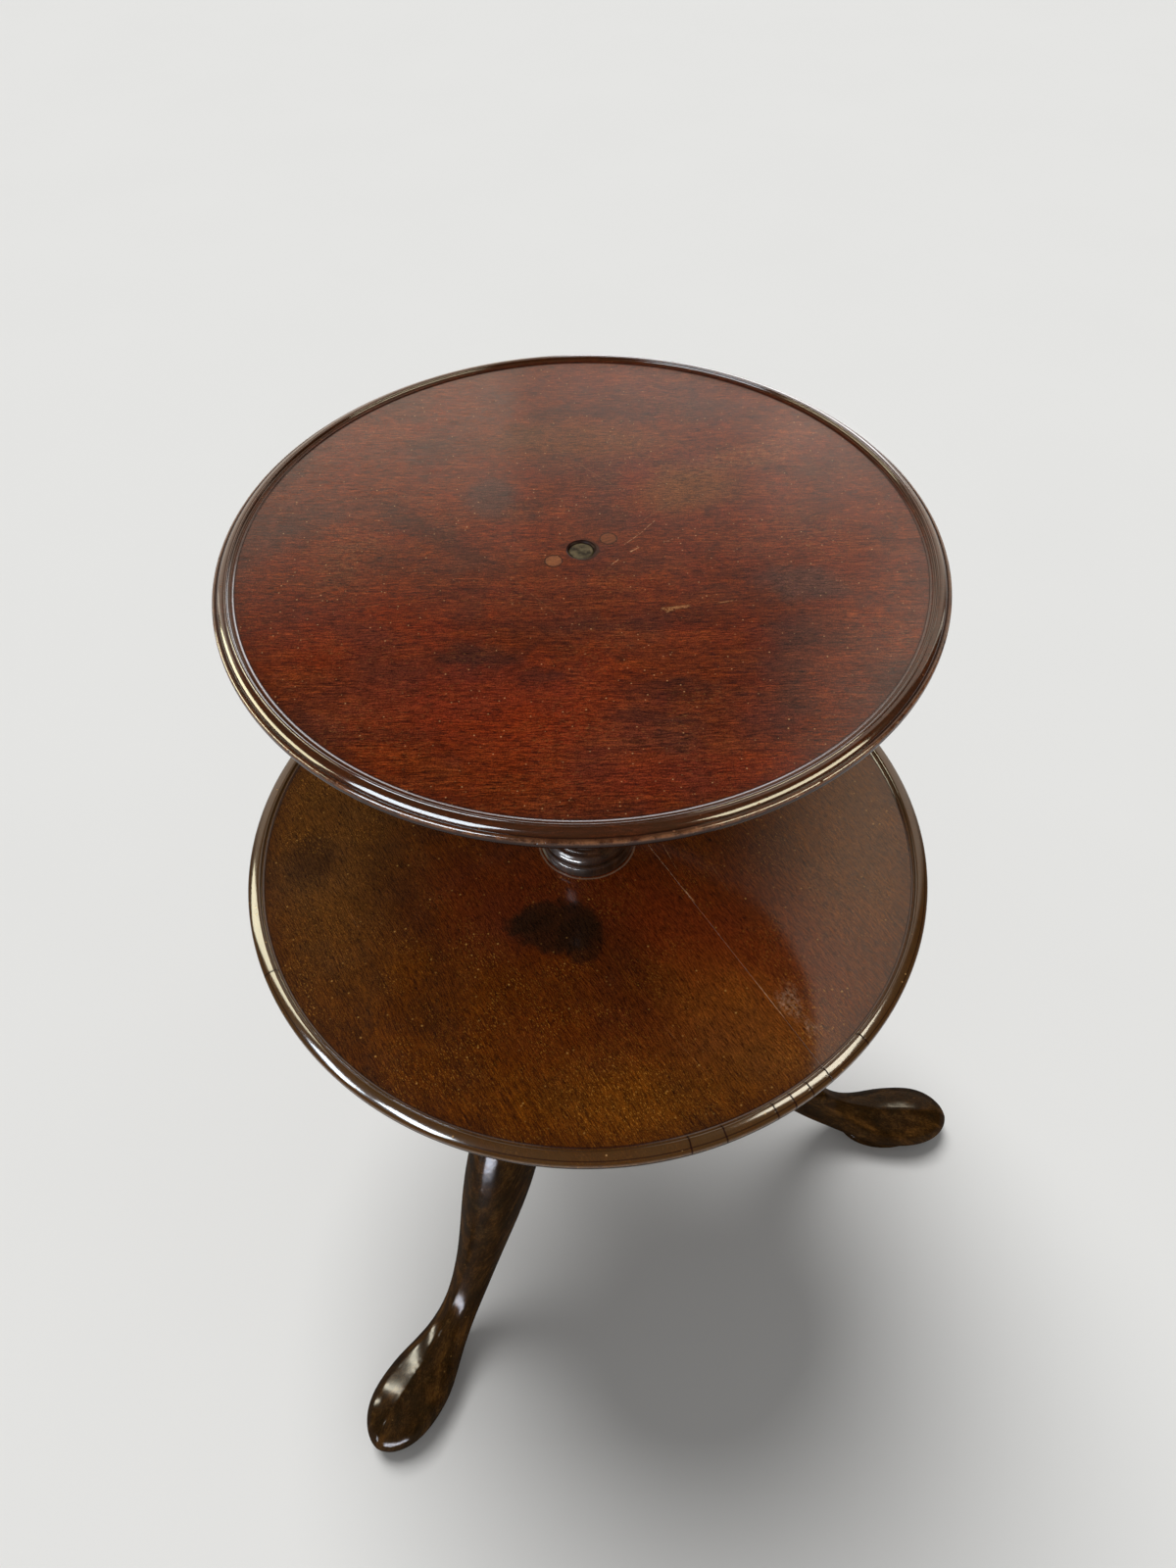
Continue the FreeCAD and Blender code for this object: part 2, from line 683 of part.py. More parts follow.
def makeLegs(doc, s):
    shape = tappedLeg(s)
    legs = []
    for index, name in enumerate(legNames):
        leg = doc.addObject("Part::Feature", name)
        leg.Label = name
        leg.Shape = shape
        leg.Placement = Placement(Vector(0, 0, 0), Rotation(Vector(0, 0, 1), index * legTurn))
        legs.append(leg)
    return legs


def tappedLeg(s):
    # Pilot holes for the tie plate's screws
    leg = legShape(s)
    for index in range(screwsPerArm):
        reach = s["tieScrewStart"].number + index * s["tieScrewPitch"].number
        radius = s["tieScrewRadius"].number + s["screwFit"].number
        base = Vector(reach, 0, s["pedestalBottom"].number - s["overrun"].number)
        depth = s["tieScrewLength"].number - s["tieScrewHeadHeight"].number + s["restGap"].number
        leg = leg.cut(Part.makeCylinder(radius, depth + s["overrun"].number, base))
    return leg


# Iron plate and screws
def makeTiePlate(doc, s):
    body = newBody(doc, "tie_plate")
    under = s["pedestalBottom"] - s["tiePlateThickness"]
    sketch = newSketch(body, "tie_plate_disc_outline", "XY_Plane", under)
    addCircle(sketch, asSize(0), asSize(0), s["tiePlateRadius"])
    disc = body.newObject("PartDesign::Pad", "tie_plate_disc")
    disc.Profile = sketch
    disc.setExpression("Length", s["tiePlateThickness"].text)
    doc.recompute()
    half = s["tieArmWidth"] / 2
    reach = s["tieArmReach"]
    armSketch = newSketch(body, "tie_plate_arm_outline", "XY_Plane", under)
    corners = [corner(0, -half), corner(reach - half, -half), corner(reach - half, half, half), corner(0, half)]
    addOutline(armSketch, corners)
    arm = body.newObject("PartDesign::Pad", "tie_plate_arm")
    arm.Profile = armSketch
    arm.setExpression("Length", s["tiePlateThickness"].text)
    doc.recompute()
    repeatRound(doc, body, [arm], "tie_plate_arms", len(legNames))
    ways = newSketch(body, "tie_plate_screw_ways_outline", "XY_Plane", under)
    for index in range(screwsPerArm):
        reach = s["tieScrewStart"] + s["tieScrewPitch"] * index
        addCircle(ways, reach, asSize(0), s["tieScrewHeadRadius"] + s["screwFit"])
    cut = cutPocket(doc, body, ways, "tie_plate_screw_ways", s["tiePlateThickness"] + s["overrun"], True)
    repeatRound(doc, body, [cut], "tie_plate_ways", len(legNames))
    return body


def woodScrew(head, headHeight, shank, length, slotWidth, slotDepth):
    # Slotted wood screw, head down at the origin, shank up
    cheese = Part.makeCylinder(head, headHeight)
    taper = Part.makeCylinder(shank, length - headHeight - shank * 2, Vector(0, 0, headHeight))
    point = Part.makeCone(shank, shank / 4, shank * 2, Vector(0, 0, length - shank * 2))
    slot = Part.makeBox(head * 4, slotWidth, slotDepth, Vector(-head * 2, -slotWidth / 2, 0))
    return cheese.fuse(taper).fuse(point).cut(slot).removeSplitter()


def makeScrewGroup(doc, name, screws):
    group = doc.addObject("Part::Feature", name)
    group.Label = name
    group.Shape = Part.makeCompound(screws)
    return group


def standUp(screw, spot, turn, headUp=False):
    copy = screw.copy()
    flip = Rotation(Vector(1, 0, 0), 180) if headUp else Rotation()
    copy.Placement = Placement(spot, Rotation(Vector(0, 0, 1), turn).multiply(flip))
    return copy


def makeTieScrews(doc, s):
    screw = woodScrew(
        s["tieScrewHeadRadius"].number,
        s["tieScrewHeadHeight"].number,
        s["tieScrewRadius"].number,
        s["tieScrewLength"].number,
        s["screwSlotWidth"].number,
        s["screwSlotDepth"].number,
    )
    height = s["pedestalBottom"].number - s["tieScrewHeadHeight"].number
    screws = []
    for leg in range(len(legNames)):
        for index in range(screwsPerArm):
            reach = s["tieScrewStart"].number + index * s["tieScrewPitch"].number
            turn = leg * legTurn
            screws.append(standUp(screw, around(turn, reach, height), turn + tieSlotTurns[index]))
    return makeScrewGroup(doc, "tie_plate_screws", screws)


def hubScrew(s, length):
    return woodScrew(
        s["hubScrewHeadRadius"].number,
        s["hubScrewHeadHeight"].number,
        s["hubScrewRadius"].number,
        length,
        s["screwSlotWidth"].number,
        s["screwSlotDepth"].number,
    )


def makeLowerHubScrews(doc, s):
    bottom = (s["lowFieldHeight"] - s["lowBoardThickness"] - s["lowHubHeight"] + s["restGap"]).number
    screw = hubScrew(s, s["lowHubScrewLength"].number - s["restGap"].number)
    screws = []
    for index in range(lowHubScrewCount):
        azimuth = lowScrewAzimuth(index)
        screws.append(standUp(screw, around(azimuth, s["lowHubScrewSpread"].number, bottom), azimuth * 2))
    return makeScrewGroup(doc, "lower_hub_screws", screws)


def makeUpperHubScrews(doc, s):
    top = (s["topFieldHeight"] - s["pelletHeight"] - s["restGap"] / 2).number
    screw = hubScrew(s, s["topHubScrewLength"].number)
    spread = s["pelletSpread"].number
    screws = [standUp(screw, around(pelletAzimuth + side, spread, top), side, True) for side in (0, 180)]
    return makeScrewGroup(doc, "upper_hub_screws", screws)


def makePellet(doc, s, name, side):
    pellet = doc.addObject("Part::Cylinder", name)
    pellet.Label = name
    pellet.setExpression("Radius", s["pelletRadius"].text)
    pellet.setExpression("Height", s["pelletHeight"].text)
    share = around(pelletAzimuth + side, 1, 0)
    pellet.setExpression("Placement.Base.x", (s["pelletSpread"] * share.x).text)
    pellet.setExpression("Placement.Base.y", (s["pelletSpread"] * share.y).text)
    pellet.setExpression("Placement.Base.z", (s["topFieldHeight"] - s["pelletHeight"]).text)
    return pellet


def buildStand(doc):
    s = makeSheet(doc)
    margin = s["washerMargin"]
    pieces = [makePedestal(doc, s)]
    pieces += makeLegs(doc, s)
    pieces += [makeTiePlate(doc, s), makeTieScrews(doc, s)]
    bore = s["tenonRadius"] + s["runningFit"]
    washerRadius = s["pedestalShoulderRadius"] - margin / 2
    pieces.append(makeWasher(doc, s, "lower_thrust_washer", bore, washerRadius, pedestalTop(s)))
    pieces += [makeUpperColumn(doc, s), makeLockPeg(doc, s), makePivotPin(doc, s)]
    bore = s["pinRadius"] + s["runningFit"]
    washerRadius = s["columnTopRadius"] - margin / 2
    pieces.append(makeWasher(doc, s, "upper_thrust_washer", bore, washerRadius, upperShoulder(s)))
    pieces.append(makeLowerBoard(doc, s, "lower_tray_main_board", True))
    pieces.append(makeLowerBoard(doc, s, "lower_tray_side_board", False))
    pieces += [makeLowerHub(doc, s), makeLowerHubScrews(doc, s)]
    pieces += [makeUpperTray(doc, s), makeUpperHub(doc, s), makeUpperHubScrews(doc, s)]
    pieces += [makePellet(doc, s, "screw_pellet_right", 0), makePellet(doc, s, "screw_pellet_left", 180)]
    doc.recompute()
    return pieces


def checkDocument(doc, pieces):
    for item in doc.Objects:
        if "Invalid" in item.State or "Error" in item.State:
            raise RuntimeError(f"{item.Name} failed: {item.State}")
    for piece in pieces:
        if piece.Shape.isNull() or not piece.Shape.isValid():
            raise RuntimeError(f"{piece.Label} has no valid shape")


def writeParts(pieces):
    os.makedirs("parts", exist_ok=True)
    for piece in pieces:
        piece.Shape.exportStep(f"parts/{piece.Label}.step")
        volume = piece.Shape.Volume / 1000
        print(f"{piece.Label}: {len(piece.Shape.Solids)} solid(s), {volume:.1f} cm3")


stand = FreeCAD.newDocument("serving_stand")
standPieces = buildStand(stand)
checkDocument(stand, standPieces)
writeParts(standPieces)
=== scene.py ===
import math
from functools import reduce

import bpy
from mathutils import Matrix, Vector


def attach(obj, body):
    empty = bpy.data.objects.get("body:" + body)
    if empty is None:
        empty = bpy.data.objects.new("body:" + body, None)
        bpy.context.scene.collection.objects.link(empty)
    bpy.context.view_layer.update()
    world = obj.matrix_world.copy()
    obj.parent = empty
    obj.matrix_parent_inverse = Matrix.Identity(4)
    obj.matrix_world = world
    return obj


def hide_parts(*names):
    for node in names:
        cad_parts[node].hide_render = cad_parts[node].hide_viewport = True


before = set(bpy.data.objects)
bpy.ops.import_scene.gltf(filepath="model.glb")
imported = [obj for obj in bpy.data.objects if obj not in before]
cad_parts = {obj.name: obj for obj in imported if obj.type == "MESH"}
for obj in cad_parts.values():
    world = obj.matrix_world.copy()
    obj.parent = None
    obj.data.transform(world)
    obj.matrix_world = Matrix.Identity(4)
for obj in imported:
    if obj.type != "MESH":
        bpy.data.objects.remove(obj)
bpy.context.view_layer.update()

mm = 0.001
scene = bpy.context.scene
scene.view_settings.view_transform = "Standard"


def srgb(red, green, blue):
    # A colour as it is seen, 0 to 255, as the linear colour that nodes hold
    linear = [((level / 255 + 0.055) / 1.055) ** 2.4 if level > 10 else level / 255 / 12.92
              for level in (red, green, blue)]
    return (*linear, 1.0)


class Wiring:
    # Adds nodes to one tree: a socket given as a value is linked, anything else is set
    def __init__(self, tree):
        self.tree = tree

    def add(self, kind, values=None, **settings):
        node = self.tree.nodes.new(kind)
        for name, setting in settings.items():
            setattr(node, name, setting)
        self.fill(node, values or {})
        return node

    def fill(self, node, values):
        for key, value in values.items():
            self.feed(node.inputs[key], value)

    def feed(self, socket, value):
        if isinstance(value, bpy.types.NodeSocket):
            self.tree.links.new(value, socket)
        else:
            socket.default_value = value

    def out(self, kind, values=None, **settings):
        return self.add(kind, values, **settings).outputs[0]

    def math(self, operation, *values, clamp=False):
        return self.out("ShaderNodeMath", dict(enumerate(values)), operation=operation, use_clamp=clamp)

    def times(self, *values):
        return reduce(lambda first, second: self.math("MULTIPLY", first, second), values)

    def most(self, *values):
        return reduce(lambda first, second: self.math("MAXIMUM", first, second), values)

    def rest(self, share):
        return self.math("SUBTRACT", 1.0, share)

    def apart(self, value, other):
        return self.math("ABSOLUTE", self.math("SUBTRACT", value, other))

    def whole(self, operation, *values):
        return self.out("FunctionNodeIntegerMath", dict(enumerate(values)), operation=operation)

    def vector(self, operation, *values):
        node = self.add("ShaderNodeVectorMath", operation=operation)
        for index, value in enumerate(values):
            self.feed(node.inputs["Scale" if operation == "SCALE" and index == 1 else index], value)
        return node.outputs["Value" if operation in ("LENGTH", "DISTANCE") else "Vector"]

    def parts(self, vector):
        return self.add("ShaderNodeSeparateXYZ", {0: vector}).outputs

    def joined(self, *values):
        return self.out("ShaderNodeCombineXYZ", dict(enumerate(values)))

    def turned(self, place, angle, axis="Z_AXIS"):
        return self.out("ShaderNodeVectorRotate", {"Vector": place, "Angle": angle}, rotation_type=axis)

    def noise(self, place, scale, detail=2.0, roughness=0.5, distortion=0.0, output=0):
        values = {"Vector": place, "Scale": scale, "Detail": detail, "Roughness": roughness,
                  "Distortion": distortion}
        return self.add("ShaderNodeTexNoise", values).outputs[output]

    def cells(self, place, scale):
        return self.add("ShaderNodeTexVoronoi", {"Vector": place, "Scale": scale}).outputs["Distance"]

    def fit(self, value, fromLow, fromHigh, toLow=0.0, toHigh=1.0, smooth=False):
        kind = "SMOOTHSTEP" if smooth else "LINEAR"
        values = {"Value": value, "From Min": fromLow, "From Max": fromHigh,
                  "To Min": toLow, "To Max": toHigh}
        return self.out("ShaderNodeMapRange", values, interpolation_type=kind)

    def fall(self, value, low, high, smooth=False):
        return self.fit(value, low, high, 1.0, 0.0, smooth)

    def mix(self, share, first, second, blend="MIX"):
        values = {0: share, 6: first, 7: second}
        return self.add("ShaderNodeMix", values, data_type="RGBA", blend_type=blend).outputs[2]

    def ramp(self, share, colours, places=(0.1, 0.5, 0.9)):
        node = self.add("ShaderNodeValToRGB", {0: share})
        node.color_ramp.elements.new(1.0)
        for element, place, colour in zip(node.color_ramp.elements, places, colours):
            element.position = place
            element.color = srgb(*colour)
        return node.outputs[0]


def newMaterial(name):
    material = bpy.data.materials.new(name)
    material.use_nodes = True
    return material, Wiring(material.node_tree), material.node_tree.nodes["Principled BSDF"]


def newObject(name, data):
    made = bpy.data.objects.new(name, data)
    scene.collection.objects.link(made)
    return made


# Camera, at the photographed angle
cameraSet = {
    "place": (0.02419, -0.58710, 1.34659),
    "pitch": 50.526,
    "roll": 1.0462,
    "turn": 2.2,
    "lens": 27.045,
    "sensor": 36.0,
}


def makeCamera(look):
    pitch, roll = math.radians(look["pitch"]), math.radians(look["roll"])
    ahead = Vector((0, math.cos(pitch), -math.sin(pitch)))
    level = Vector((1, 0, 0))
    below = ahead.cross(level)
    right = math.cos(roll) * level + math.sin(roll) * below
    down = math.cos(roll) * below - math.sin(roll) * level
    axes = Matrix((right, -down, -ahead)).transposed()
    turn = Matrix.Rotation(math.radians(look["turn"]), 3, "Z")
    data = bpy.data.cameras.new("viewpoint")
    data.lens, data.sensor_width, data.sensor_fit = look["lens"], look["sensor"], "AUTO"
    camera = newObject("viewpoint", data)
    camera.matrix_world = Matrix.Translation(look["place"]) @ (turn @ axes).to_4x4()
    scene.camera = camera


# Studio: pale floor, even daylight, one broad lamp, and windows and walls that only gloss shows.
# The lamp stands twice: from behind for the floor's shadow, and from the front for the stand itself.
studio = {
    "floorRadius": 14.0,
    "floorColour": srgb(229, 229, 227),
    "daylight": 0.29,
    "floorLamp": {"strength": 2.45, "width": 31.0, "aim": (-0.207, 0.395, 1.0)},
    "standLamp": {"strength": 2.45, "width": 62.0, "aim": (-0.16, -0.42, 1.0)},
    "roomStrength": 2.7,
    "gloom": srgb(24, 22, 20),
    "wallColour": srgb(255, 236, 216),
    "wallTop": (0.53, 0.69),
    "wallSides": (34, 50, 134, 150),
    "wallGap": (80.0, 83.5, 95.0, 97.0),
    "wallGapShare": 0.4,
    "sideWall": (34, 44, 69, 82),
    "sideWallRise": (0.35, 0.50, 0.90, 0.97),
    "sideWallShare": 0.93,
}

# Cards: azimuth and elevation of the middle as seen from a place, width and height in degrees, colour,
# strength, the pieces whose gloss shows them, and that place with its distance if it isn't over the trays
overTrays = ((0, 0, 0.7), 3.0)
overFoot = ((-0.17, -0.29, 0.05), 2.5)
glossCards = {
    "frontWindow": (-134, 34, 34, 30, (0.82, 0.92, 1.0), 38.0, "top"),
    "rightLamp": (-30, 32, 42, 24, (1.0, 0.92, 0.64), 25.0, "top"),
    "leftLamp": (176, 20, 46, 22, (1.0, 0.93, 0.62), 25.0, "top"),
    "lowWindow": (188, 49, 12, 7, (0.82, 0.92, 1.0), 60.0, "low"),
    "lowWindowEnd": (210, 58, 13, 7, (0.82, 0.92, 1.0), 80.0, "low"),
    "lowRightLamp": (12, 62, 16, 18, (1.0, 0.93, 0.74), 30.0, "low"),
    "lowLeftLamp": (154, 42, 13, 30, (1.0, 0.94, 0.68), 26.0, "low"),
    "leftWall": (147, 22, 5, 34, (1.0, 0.92, 0.76), 4.0, "top"),
    "rightWall": (30, 22, 5, 34, (1.0, 0.92, 0.76), 4.0, "top"),
    "farWindow": (78, 16, 30, 24, (0.88, 0.93, 1.0), 9.0, "top"),
    "columnWindow": (-138, 26, 24, 34, (0.88, 0.94, 1.0), 30.0, "column"),
    "columnGlow": (-124, -21, 60, 22, (0.86, 0.93, 1.0), 75.0, "column", (-0.012, -0.033, 0.578), 0.042),
    "footWindow": (146, 38, 3.5, 52, (1.0, 0.95, 0.76), 200.0, "legs", *overFoot),
    "lowFootWindow": (162, 14, 4, 24, (1.0, 0.95, 0.76), 160.0, "legs", *overFoot),
    "toeLamp": (-156, 47, 6, 7, (1.0, 0.95, 0.85), 60.0, "legs", *overFoot),
    "rightFootLamp": (62, 32, 20, 5, (1.0, 0.88, 0.66), 60.0, "legs"),
    "ankleLamp": (-135, -8, 18, 15, (0.86, 0.92, 1.0), 70.0, "legs", (-0.136, -0.233, 0.081), 0.45),
    "kneeLamp": (-101, -33, 26, 18, (0.80, 0.86, 1.0), 140.0, "legs", (-0.087, -0.172, 0.28), 0.50),
}


def makeFloor(look):
    bpy.ops.mesh.primitive_circle_add(vertices=96, radius=look["floorRadius"], fill_type="NGON")
    floor = bpy.context.object
    floor.name = "floor"
    material, wires, shader = newMaterial("paleFloor")
    place = wires.add("ShaderNodeTexCoord").outputs["Object"]
    shade = wires.fit(wires.noise(place, 3.0), 0.3, 0.7, 0.99, 1.0)
    colour = wires.mix(1.0, look["floorColour"], shade, "MULTIPLY")
    wires.fill(shader, {"Base Color": colour, "Roughness": 0.9, "Specular IOR Level": 0.0})
    floor.data.materials.append(material)
    return floor


def between(wires, value, limits):
    # Rises over the first two limits and falls over the last two
    rise = wires.fit(value, limits[0], limits[1], smooth=True)
    return wires.times(rise, wires.fall(value, limits[2], limits[3], smooth=True))


def roomInGloss(wires, look):
    # What gloss shows of the room: a bright wall behind with a darker gap, a taller wall to the right,
    # and gloom everywhere else
    ahead = wires.parts(wires.add("ShaderNodeTexCoord").outputs["Generated"])
    azimuth = wires.math("DEGREES", wires.math("ARCTAN2", ahead[1], ahead[0]))
    gap = wires.times(between(wires, azimuth, look["wallGap"]), look["wallGapShare"])
    wall = wires.times(wires.fall(ahead[2], *look["wallTop"], smooth=True),
                       between(wires, azimuth, look["wallSides"]), wires.rest(gap))
    side = wires.times(between(wires, azimuth, look["sideWall"]),
                       between(wires, ahead[2], look["sideWallRise"]), look["sideWallShare"])
    return wires.mix(wires.most(wall, side), look["gloom"], look["wallColour"])


def makeDaylight(look):
    world = bpy.data.worlds.new("studio")
    scene.world = world
    world.use_nodes = True
    wires = Wiring(world.node_tree)
    world.node_tree.nodes.clear()
    rays = wires.add("ShaderNodeLightPath")
    mirrored = wires.most(rays.outputs["Is Glossy Ray"], rays.outputs["Is Transmission Ray"])
    ambient = wires.out("ShaderNodeBackground", {"Color": (1, 1, 1, 1), "Strength": look["daylight"]})
    backdrop = wires.out("ShaderNodeBackground", {"Color": look["floorColour"], "Strength": 1.0})
    room = {"Color": roomInGloss(wires, look), "Strength": look["roomStrength"]}
    reflected = wires.out("ShaderNodeBackground", room)
    seen = wires.out("ShaderNodeMixShader", {0: rays.outputs["Is Camera Ray"], 1: ambient, 2: backdrop})
    both = wires.out("ShaderNodeMixShader", {0: mirrored, 1: seen, 2: reflected})
    wires.add("ShaderNodeOutputWorld", {0: both})


def limit(lamp, pieces, state):
    # Light linking: the lamp lights only these pieces, or all but these
    lit = bpy.data.collections.new(lamp.name + "Reach")
    for piece in pieces:
        lit.objects.link(piece)
    for entry in lit.collection_objects:
        entry.light_linking.link_state = state
    lamp.light_linking.receiver_collection = lit


def makeLamp(name, look):
    data = bpy.data.lights.new(name, "SUN")
    data.energy, data.angle = look["strength"], math.radians(look["width"])
    lamp = newObject(name, data)
    lamp.rotation_mode = "QUATERNION"
    lamp.rotation_quaternion = Vector(look["aim"]).to_track_quat("Z", "Y")
    lamp.visible_glossy = False
    return lamp


def makeCards(cards, pieces):
    for name, (azimuth, rise, wide, high, colour, strength, group, *spot) in cards.items():
        aim, distance = spot or overTrays
        turn, lift = math.radians(azimuth), math.radians(rise)
        away = Vector((math.cos(turn) * math.cos(lift), math.sin(turn) * math.cos(lift), math.sin(lift)))
        data = bpy.data.lights.new(name, "AREA")
        data.shape = "RECTANGLE"
        data.size = 2 * distance * math.tan(math.radians(wide) / 2)
        data.size_y = 2 * distance * math.tan(math.radians(high) / 2)
        data.color = colour
        data.energy = strength * math.pi * data.size * data.size_y
        card = newObject(name, data)
        card.location = Vector(aim) + away * distance
        card.rotation_mode = "QUATERNION"
        card.rotation_quaternion = away.to_track_quat("Z", "Y")
        card.visible_diffuse = False
        card.visible_camera = False
        limit(card, pieces[group], "INCLUDE")


makeCamera(cameraSet)
floor = makeFloor(studio)
makeDaylight(studio)
limit(makeLamp("floorLamp", studio["floorLamp"]), [floor], "INCLUDE")
limit(makeLamp("standLamp", studio["standLamp"]), [floor], "EXCLUDE")
print("studio ready")


# Turned pieces: an outline of corners, swept round the column's axis
def arcThrough(start, crown, end, steps):
    # Points from start to end on the arc through its crown
    (ax, ay), (bx, by), (cx, cy) = start, crown, end
    twice = 2 * (ax * (by - cy) + bx * (cy - ay) + cx * (ay - by))
    a, b, c = ax * ax + ay * ay, bx * bx + by * by, cx * cx + cy * cy
    mx = (a * (by - cy) + b * (cy - ay) + c * (ay - by)) / twice
    my = (a * (cx - bx) + b * (ax - cx) + c * (bx - ax)) / twice
    radius = math.hypot(ax - mx, ay - my)
    first, middle, last = (math.atan2(y - my, x - mx) for x, y in (start, crown, end))
    turn = (last - first) % math.tau
    if (middle - first) % math.tau > turn:
        turn -= math.tau
    angles = [first + turn * step / steps for step in range(steps + 1)]
    return [(mx + radius * math.cos(angle), my + radius * math.sin(angle)) for angle in angles]


def edgeRun(start, end, swell, arcSteps, ringStep):
    # One edge of an outline as points: an arc, or a straight run with rings near its ends
    if any(swell):
        crown = ((start[0] + end[0]) / 2 + swell[0], (start[1] + end[1]) / 2 + swell[1])
        return arcThrough(start, crown, end, arcSteps)
    length = math.dist(start, end)
    if length < ringStep:
        return [start, end]
    count = max(2, round(length / ringStep))
    near = 0.8 / length
    shares = [0, near] + [step / count for step in range(1, count)] + [1 - near, 1]
    return [tuple(Vector(start).lerp(Vector(end), share)) for share in shares]


def trimmed(run, fromStart, fromEnd, spare=0.02):
    # The run without its first and last stretch, for the rounded corners there
    steps = [math.dist(a, b) for a, b in zip(run, run[1:])]
    places = [0.0]
    for step in steps:
        places.append(places[-1] + step)

    def at(distance):
        index = max(i for i, place in enumerate(places[:-1]) if place <= distance)
        share = (distance - places[index]) / steps[index]
        return tuple(Vector(run[index]).lerp(Vector(run[index + 1]), share))

    low, high = fromStart, places[-1] - fromEnd
    kept = [point for point, place in zip(run, places) if low + spare < place < high - spare]
    return [at(low)] + kept + [at(high)]


def roundCorner(start, control, end):
    # Three points on a rounded corner between its two cut ends
    bend = []
    for share in (0.25, 0.5, 0.75):
        first = Vector(start).lerp(Vector(control), share)
        second = Vector(control).lerp(Vector(end), share)
        bend.append(tuple(first.lerp(second, share)))
    return bend


def softOutline(corners, soft, closed=True, arcSteps=14, ringStep=12.0, leastBend=0.2, mostCut=0.4):
    # Corners are (across, up, swell out, swell up), the swell being that of the edge that leads there.
    # Each sharp corner is rounded as handling does.
    ends = [corner[:2] for corner in corners]
    swells = [(corner[2:] or (0, 0)) for corner in corners]
    count = len(ends) if closed else len(ends) - 1
    runs = [edgeRun(ends[i], ends[(i + 1) % len(ends)], swells[(i + 1) % len(ends)], arcSteps, ringStep)
            for i in range(count)]
    lengths = [sum(math.dist(a, b) for a, b in zip(run, run[1:])) for run in runs]
    cuts = []
    for index in range(len(ends)):
        if not closed and index in (0, len(ends) - 1):
            cuts.append(0.0)
            continue
        arriving, leaving = runs[index - 1], runs[index % count]
        before = Vector(arriving[-1]) - Vector(arriving[-2])
        after = Vector(leaving[1]) - Vector(leaving[0])
        room = mostCut * min(lengths[index - 1], lengths[index % count])
        cuts.append(min(soft, room) if before.angle(after) > leastBend else 0.0)
    points = []
    for index in range(count):
        start, end = cuts[index], cuts[(index + 1) % len(ends)]
        body = trimmed(runs[index], start, end)
        if start and points:
            points += roundCorner(points[-1], ends[index], body[0])
        points += body if start or not points else body[1:]
    if closed:
        points += roundCorner(points[-1], ends[0], points[0]) if cuts[0] else []
        points.append(points[0])
    return points


def socketOf(group, name):
    return next(item.identifier for item in group.interface.items_tree
                if item.item_type == "SOCKET" and item.in_out == "INPUT" and item.name == name)


def newTree(name, inputs):
    group = bpy.data.node_groups.new(name, "GeometryNodeTree")
    group.interface.new_socket("Geometry", in_out="INPUT", socket_type="NodeSocketGeometry")
    for label, kind, default in inputs:
        item = group.interface.new_socket(label, in_out="INPUT", socket_type="NodeSocket" + kind)
        if default is not None:
            item.default_value = default
    group.interface.new_socket("Geometry", in_out="OUTPUT", socket_type="NodeSocketGeometry")
    wires = Wiring(group)
    return group, wires, wires.add("NodeGroupInput").outputs


def finishTree(wires, shaped, given):
    done = wires.out("GeometryNodeSetMaterial", {"Geometry": shaped, "Material": given["Material"]})
    wires.add("NodeGroupOutput", {0: done})


def turningTree():
    # Sweeps the outline's points round Z and gives the turned skin the slow unevenness of old wood
    group, wires, given = newTree("turning", (
        ("Steps round", "Int", 360),
        ("Unevenness", "Float", 0.0001),
        ("Swell length", "Float", 0.05),
        ("Calm radius", "Float", 0.03),
        ("Material", "Material", None),
    ))
    outline = given["Geometry"]
    size = wires.add("GeometryNodeAttributeDomainSize", {0: outline}).outputs["Point Count"]
    around = wires.whole("ADD", given["Steps round"], 1)
    grid = wires.out("GeometryNodeMeshGrid", {"Vertices X": around, "Vertices Y": size})
    index = wires.out("GeometryNodeInputIndex")
    step = wires.whole("DIVIDE_FLOOR", index, size)
    position = wires.out("GeometryNodeInputPosition")
    sample = {"Geometry": outline, "Value": position, "Index": wires.whole("MODULO", index, size)}
    corner = wires.out("GeometryNodeSampleIndex", sample, data_type="FLOAT_VECTOR")
    angle = wires.times(wires.math("DIVIDE", step, given["Steps round"]), math.tau)
    spun = {"Geometry": grid, "Position": wires.turned(corner, angle)}
    swept = wires.out("GeometryNodeSetPosition", spun)
    closed = wires.out("GeometryNodeMergeByDistance", {"Geometry": swept, "Distance": 1e-6})
    reach = wires.vector("LENGTH", wires.vector("MULTIPLY", position, (1, 1, 0)))
    calm = wires.fit(wires.math("DIVIDE", reach, given["Calm radius"]), 1.0, 2.0, smooth=True)
    rate = wires.math("DIVIDE", 1.0, given["Swell length"])
    ripple = wires.math("SUBTRACT", wires.noise(position, rate, 2), 0.5)
    push = wires.times(ripple, calm, given["Unevenness"])
    outward = wires.vector("SCALE", wires.out("GeometryNodeInputNormal"), push)
    uneven = wires.out("GeometryNodeSetPosition", {"Geometry": closed, "Offset": outward})
    smooth = wires.out("GeometryNodeSetShadeSmooth", {"Geometry": uneven})
    finishTree(wires, wires.out("GeometryNodeRealizeInstances", {0: smooth}), given)
    return group


def facing(wires):
    # Turns an instance so that its X points away from the axis
    parts = wires.parts(wires.out("GeometryNodeInputPosition"))
    return wires.joined(0.0, 0.0, wires.math("ARCTAN2", parts[1], parts[0]))


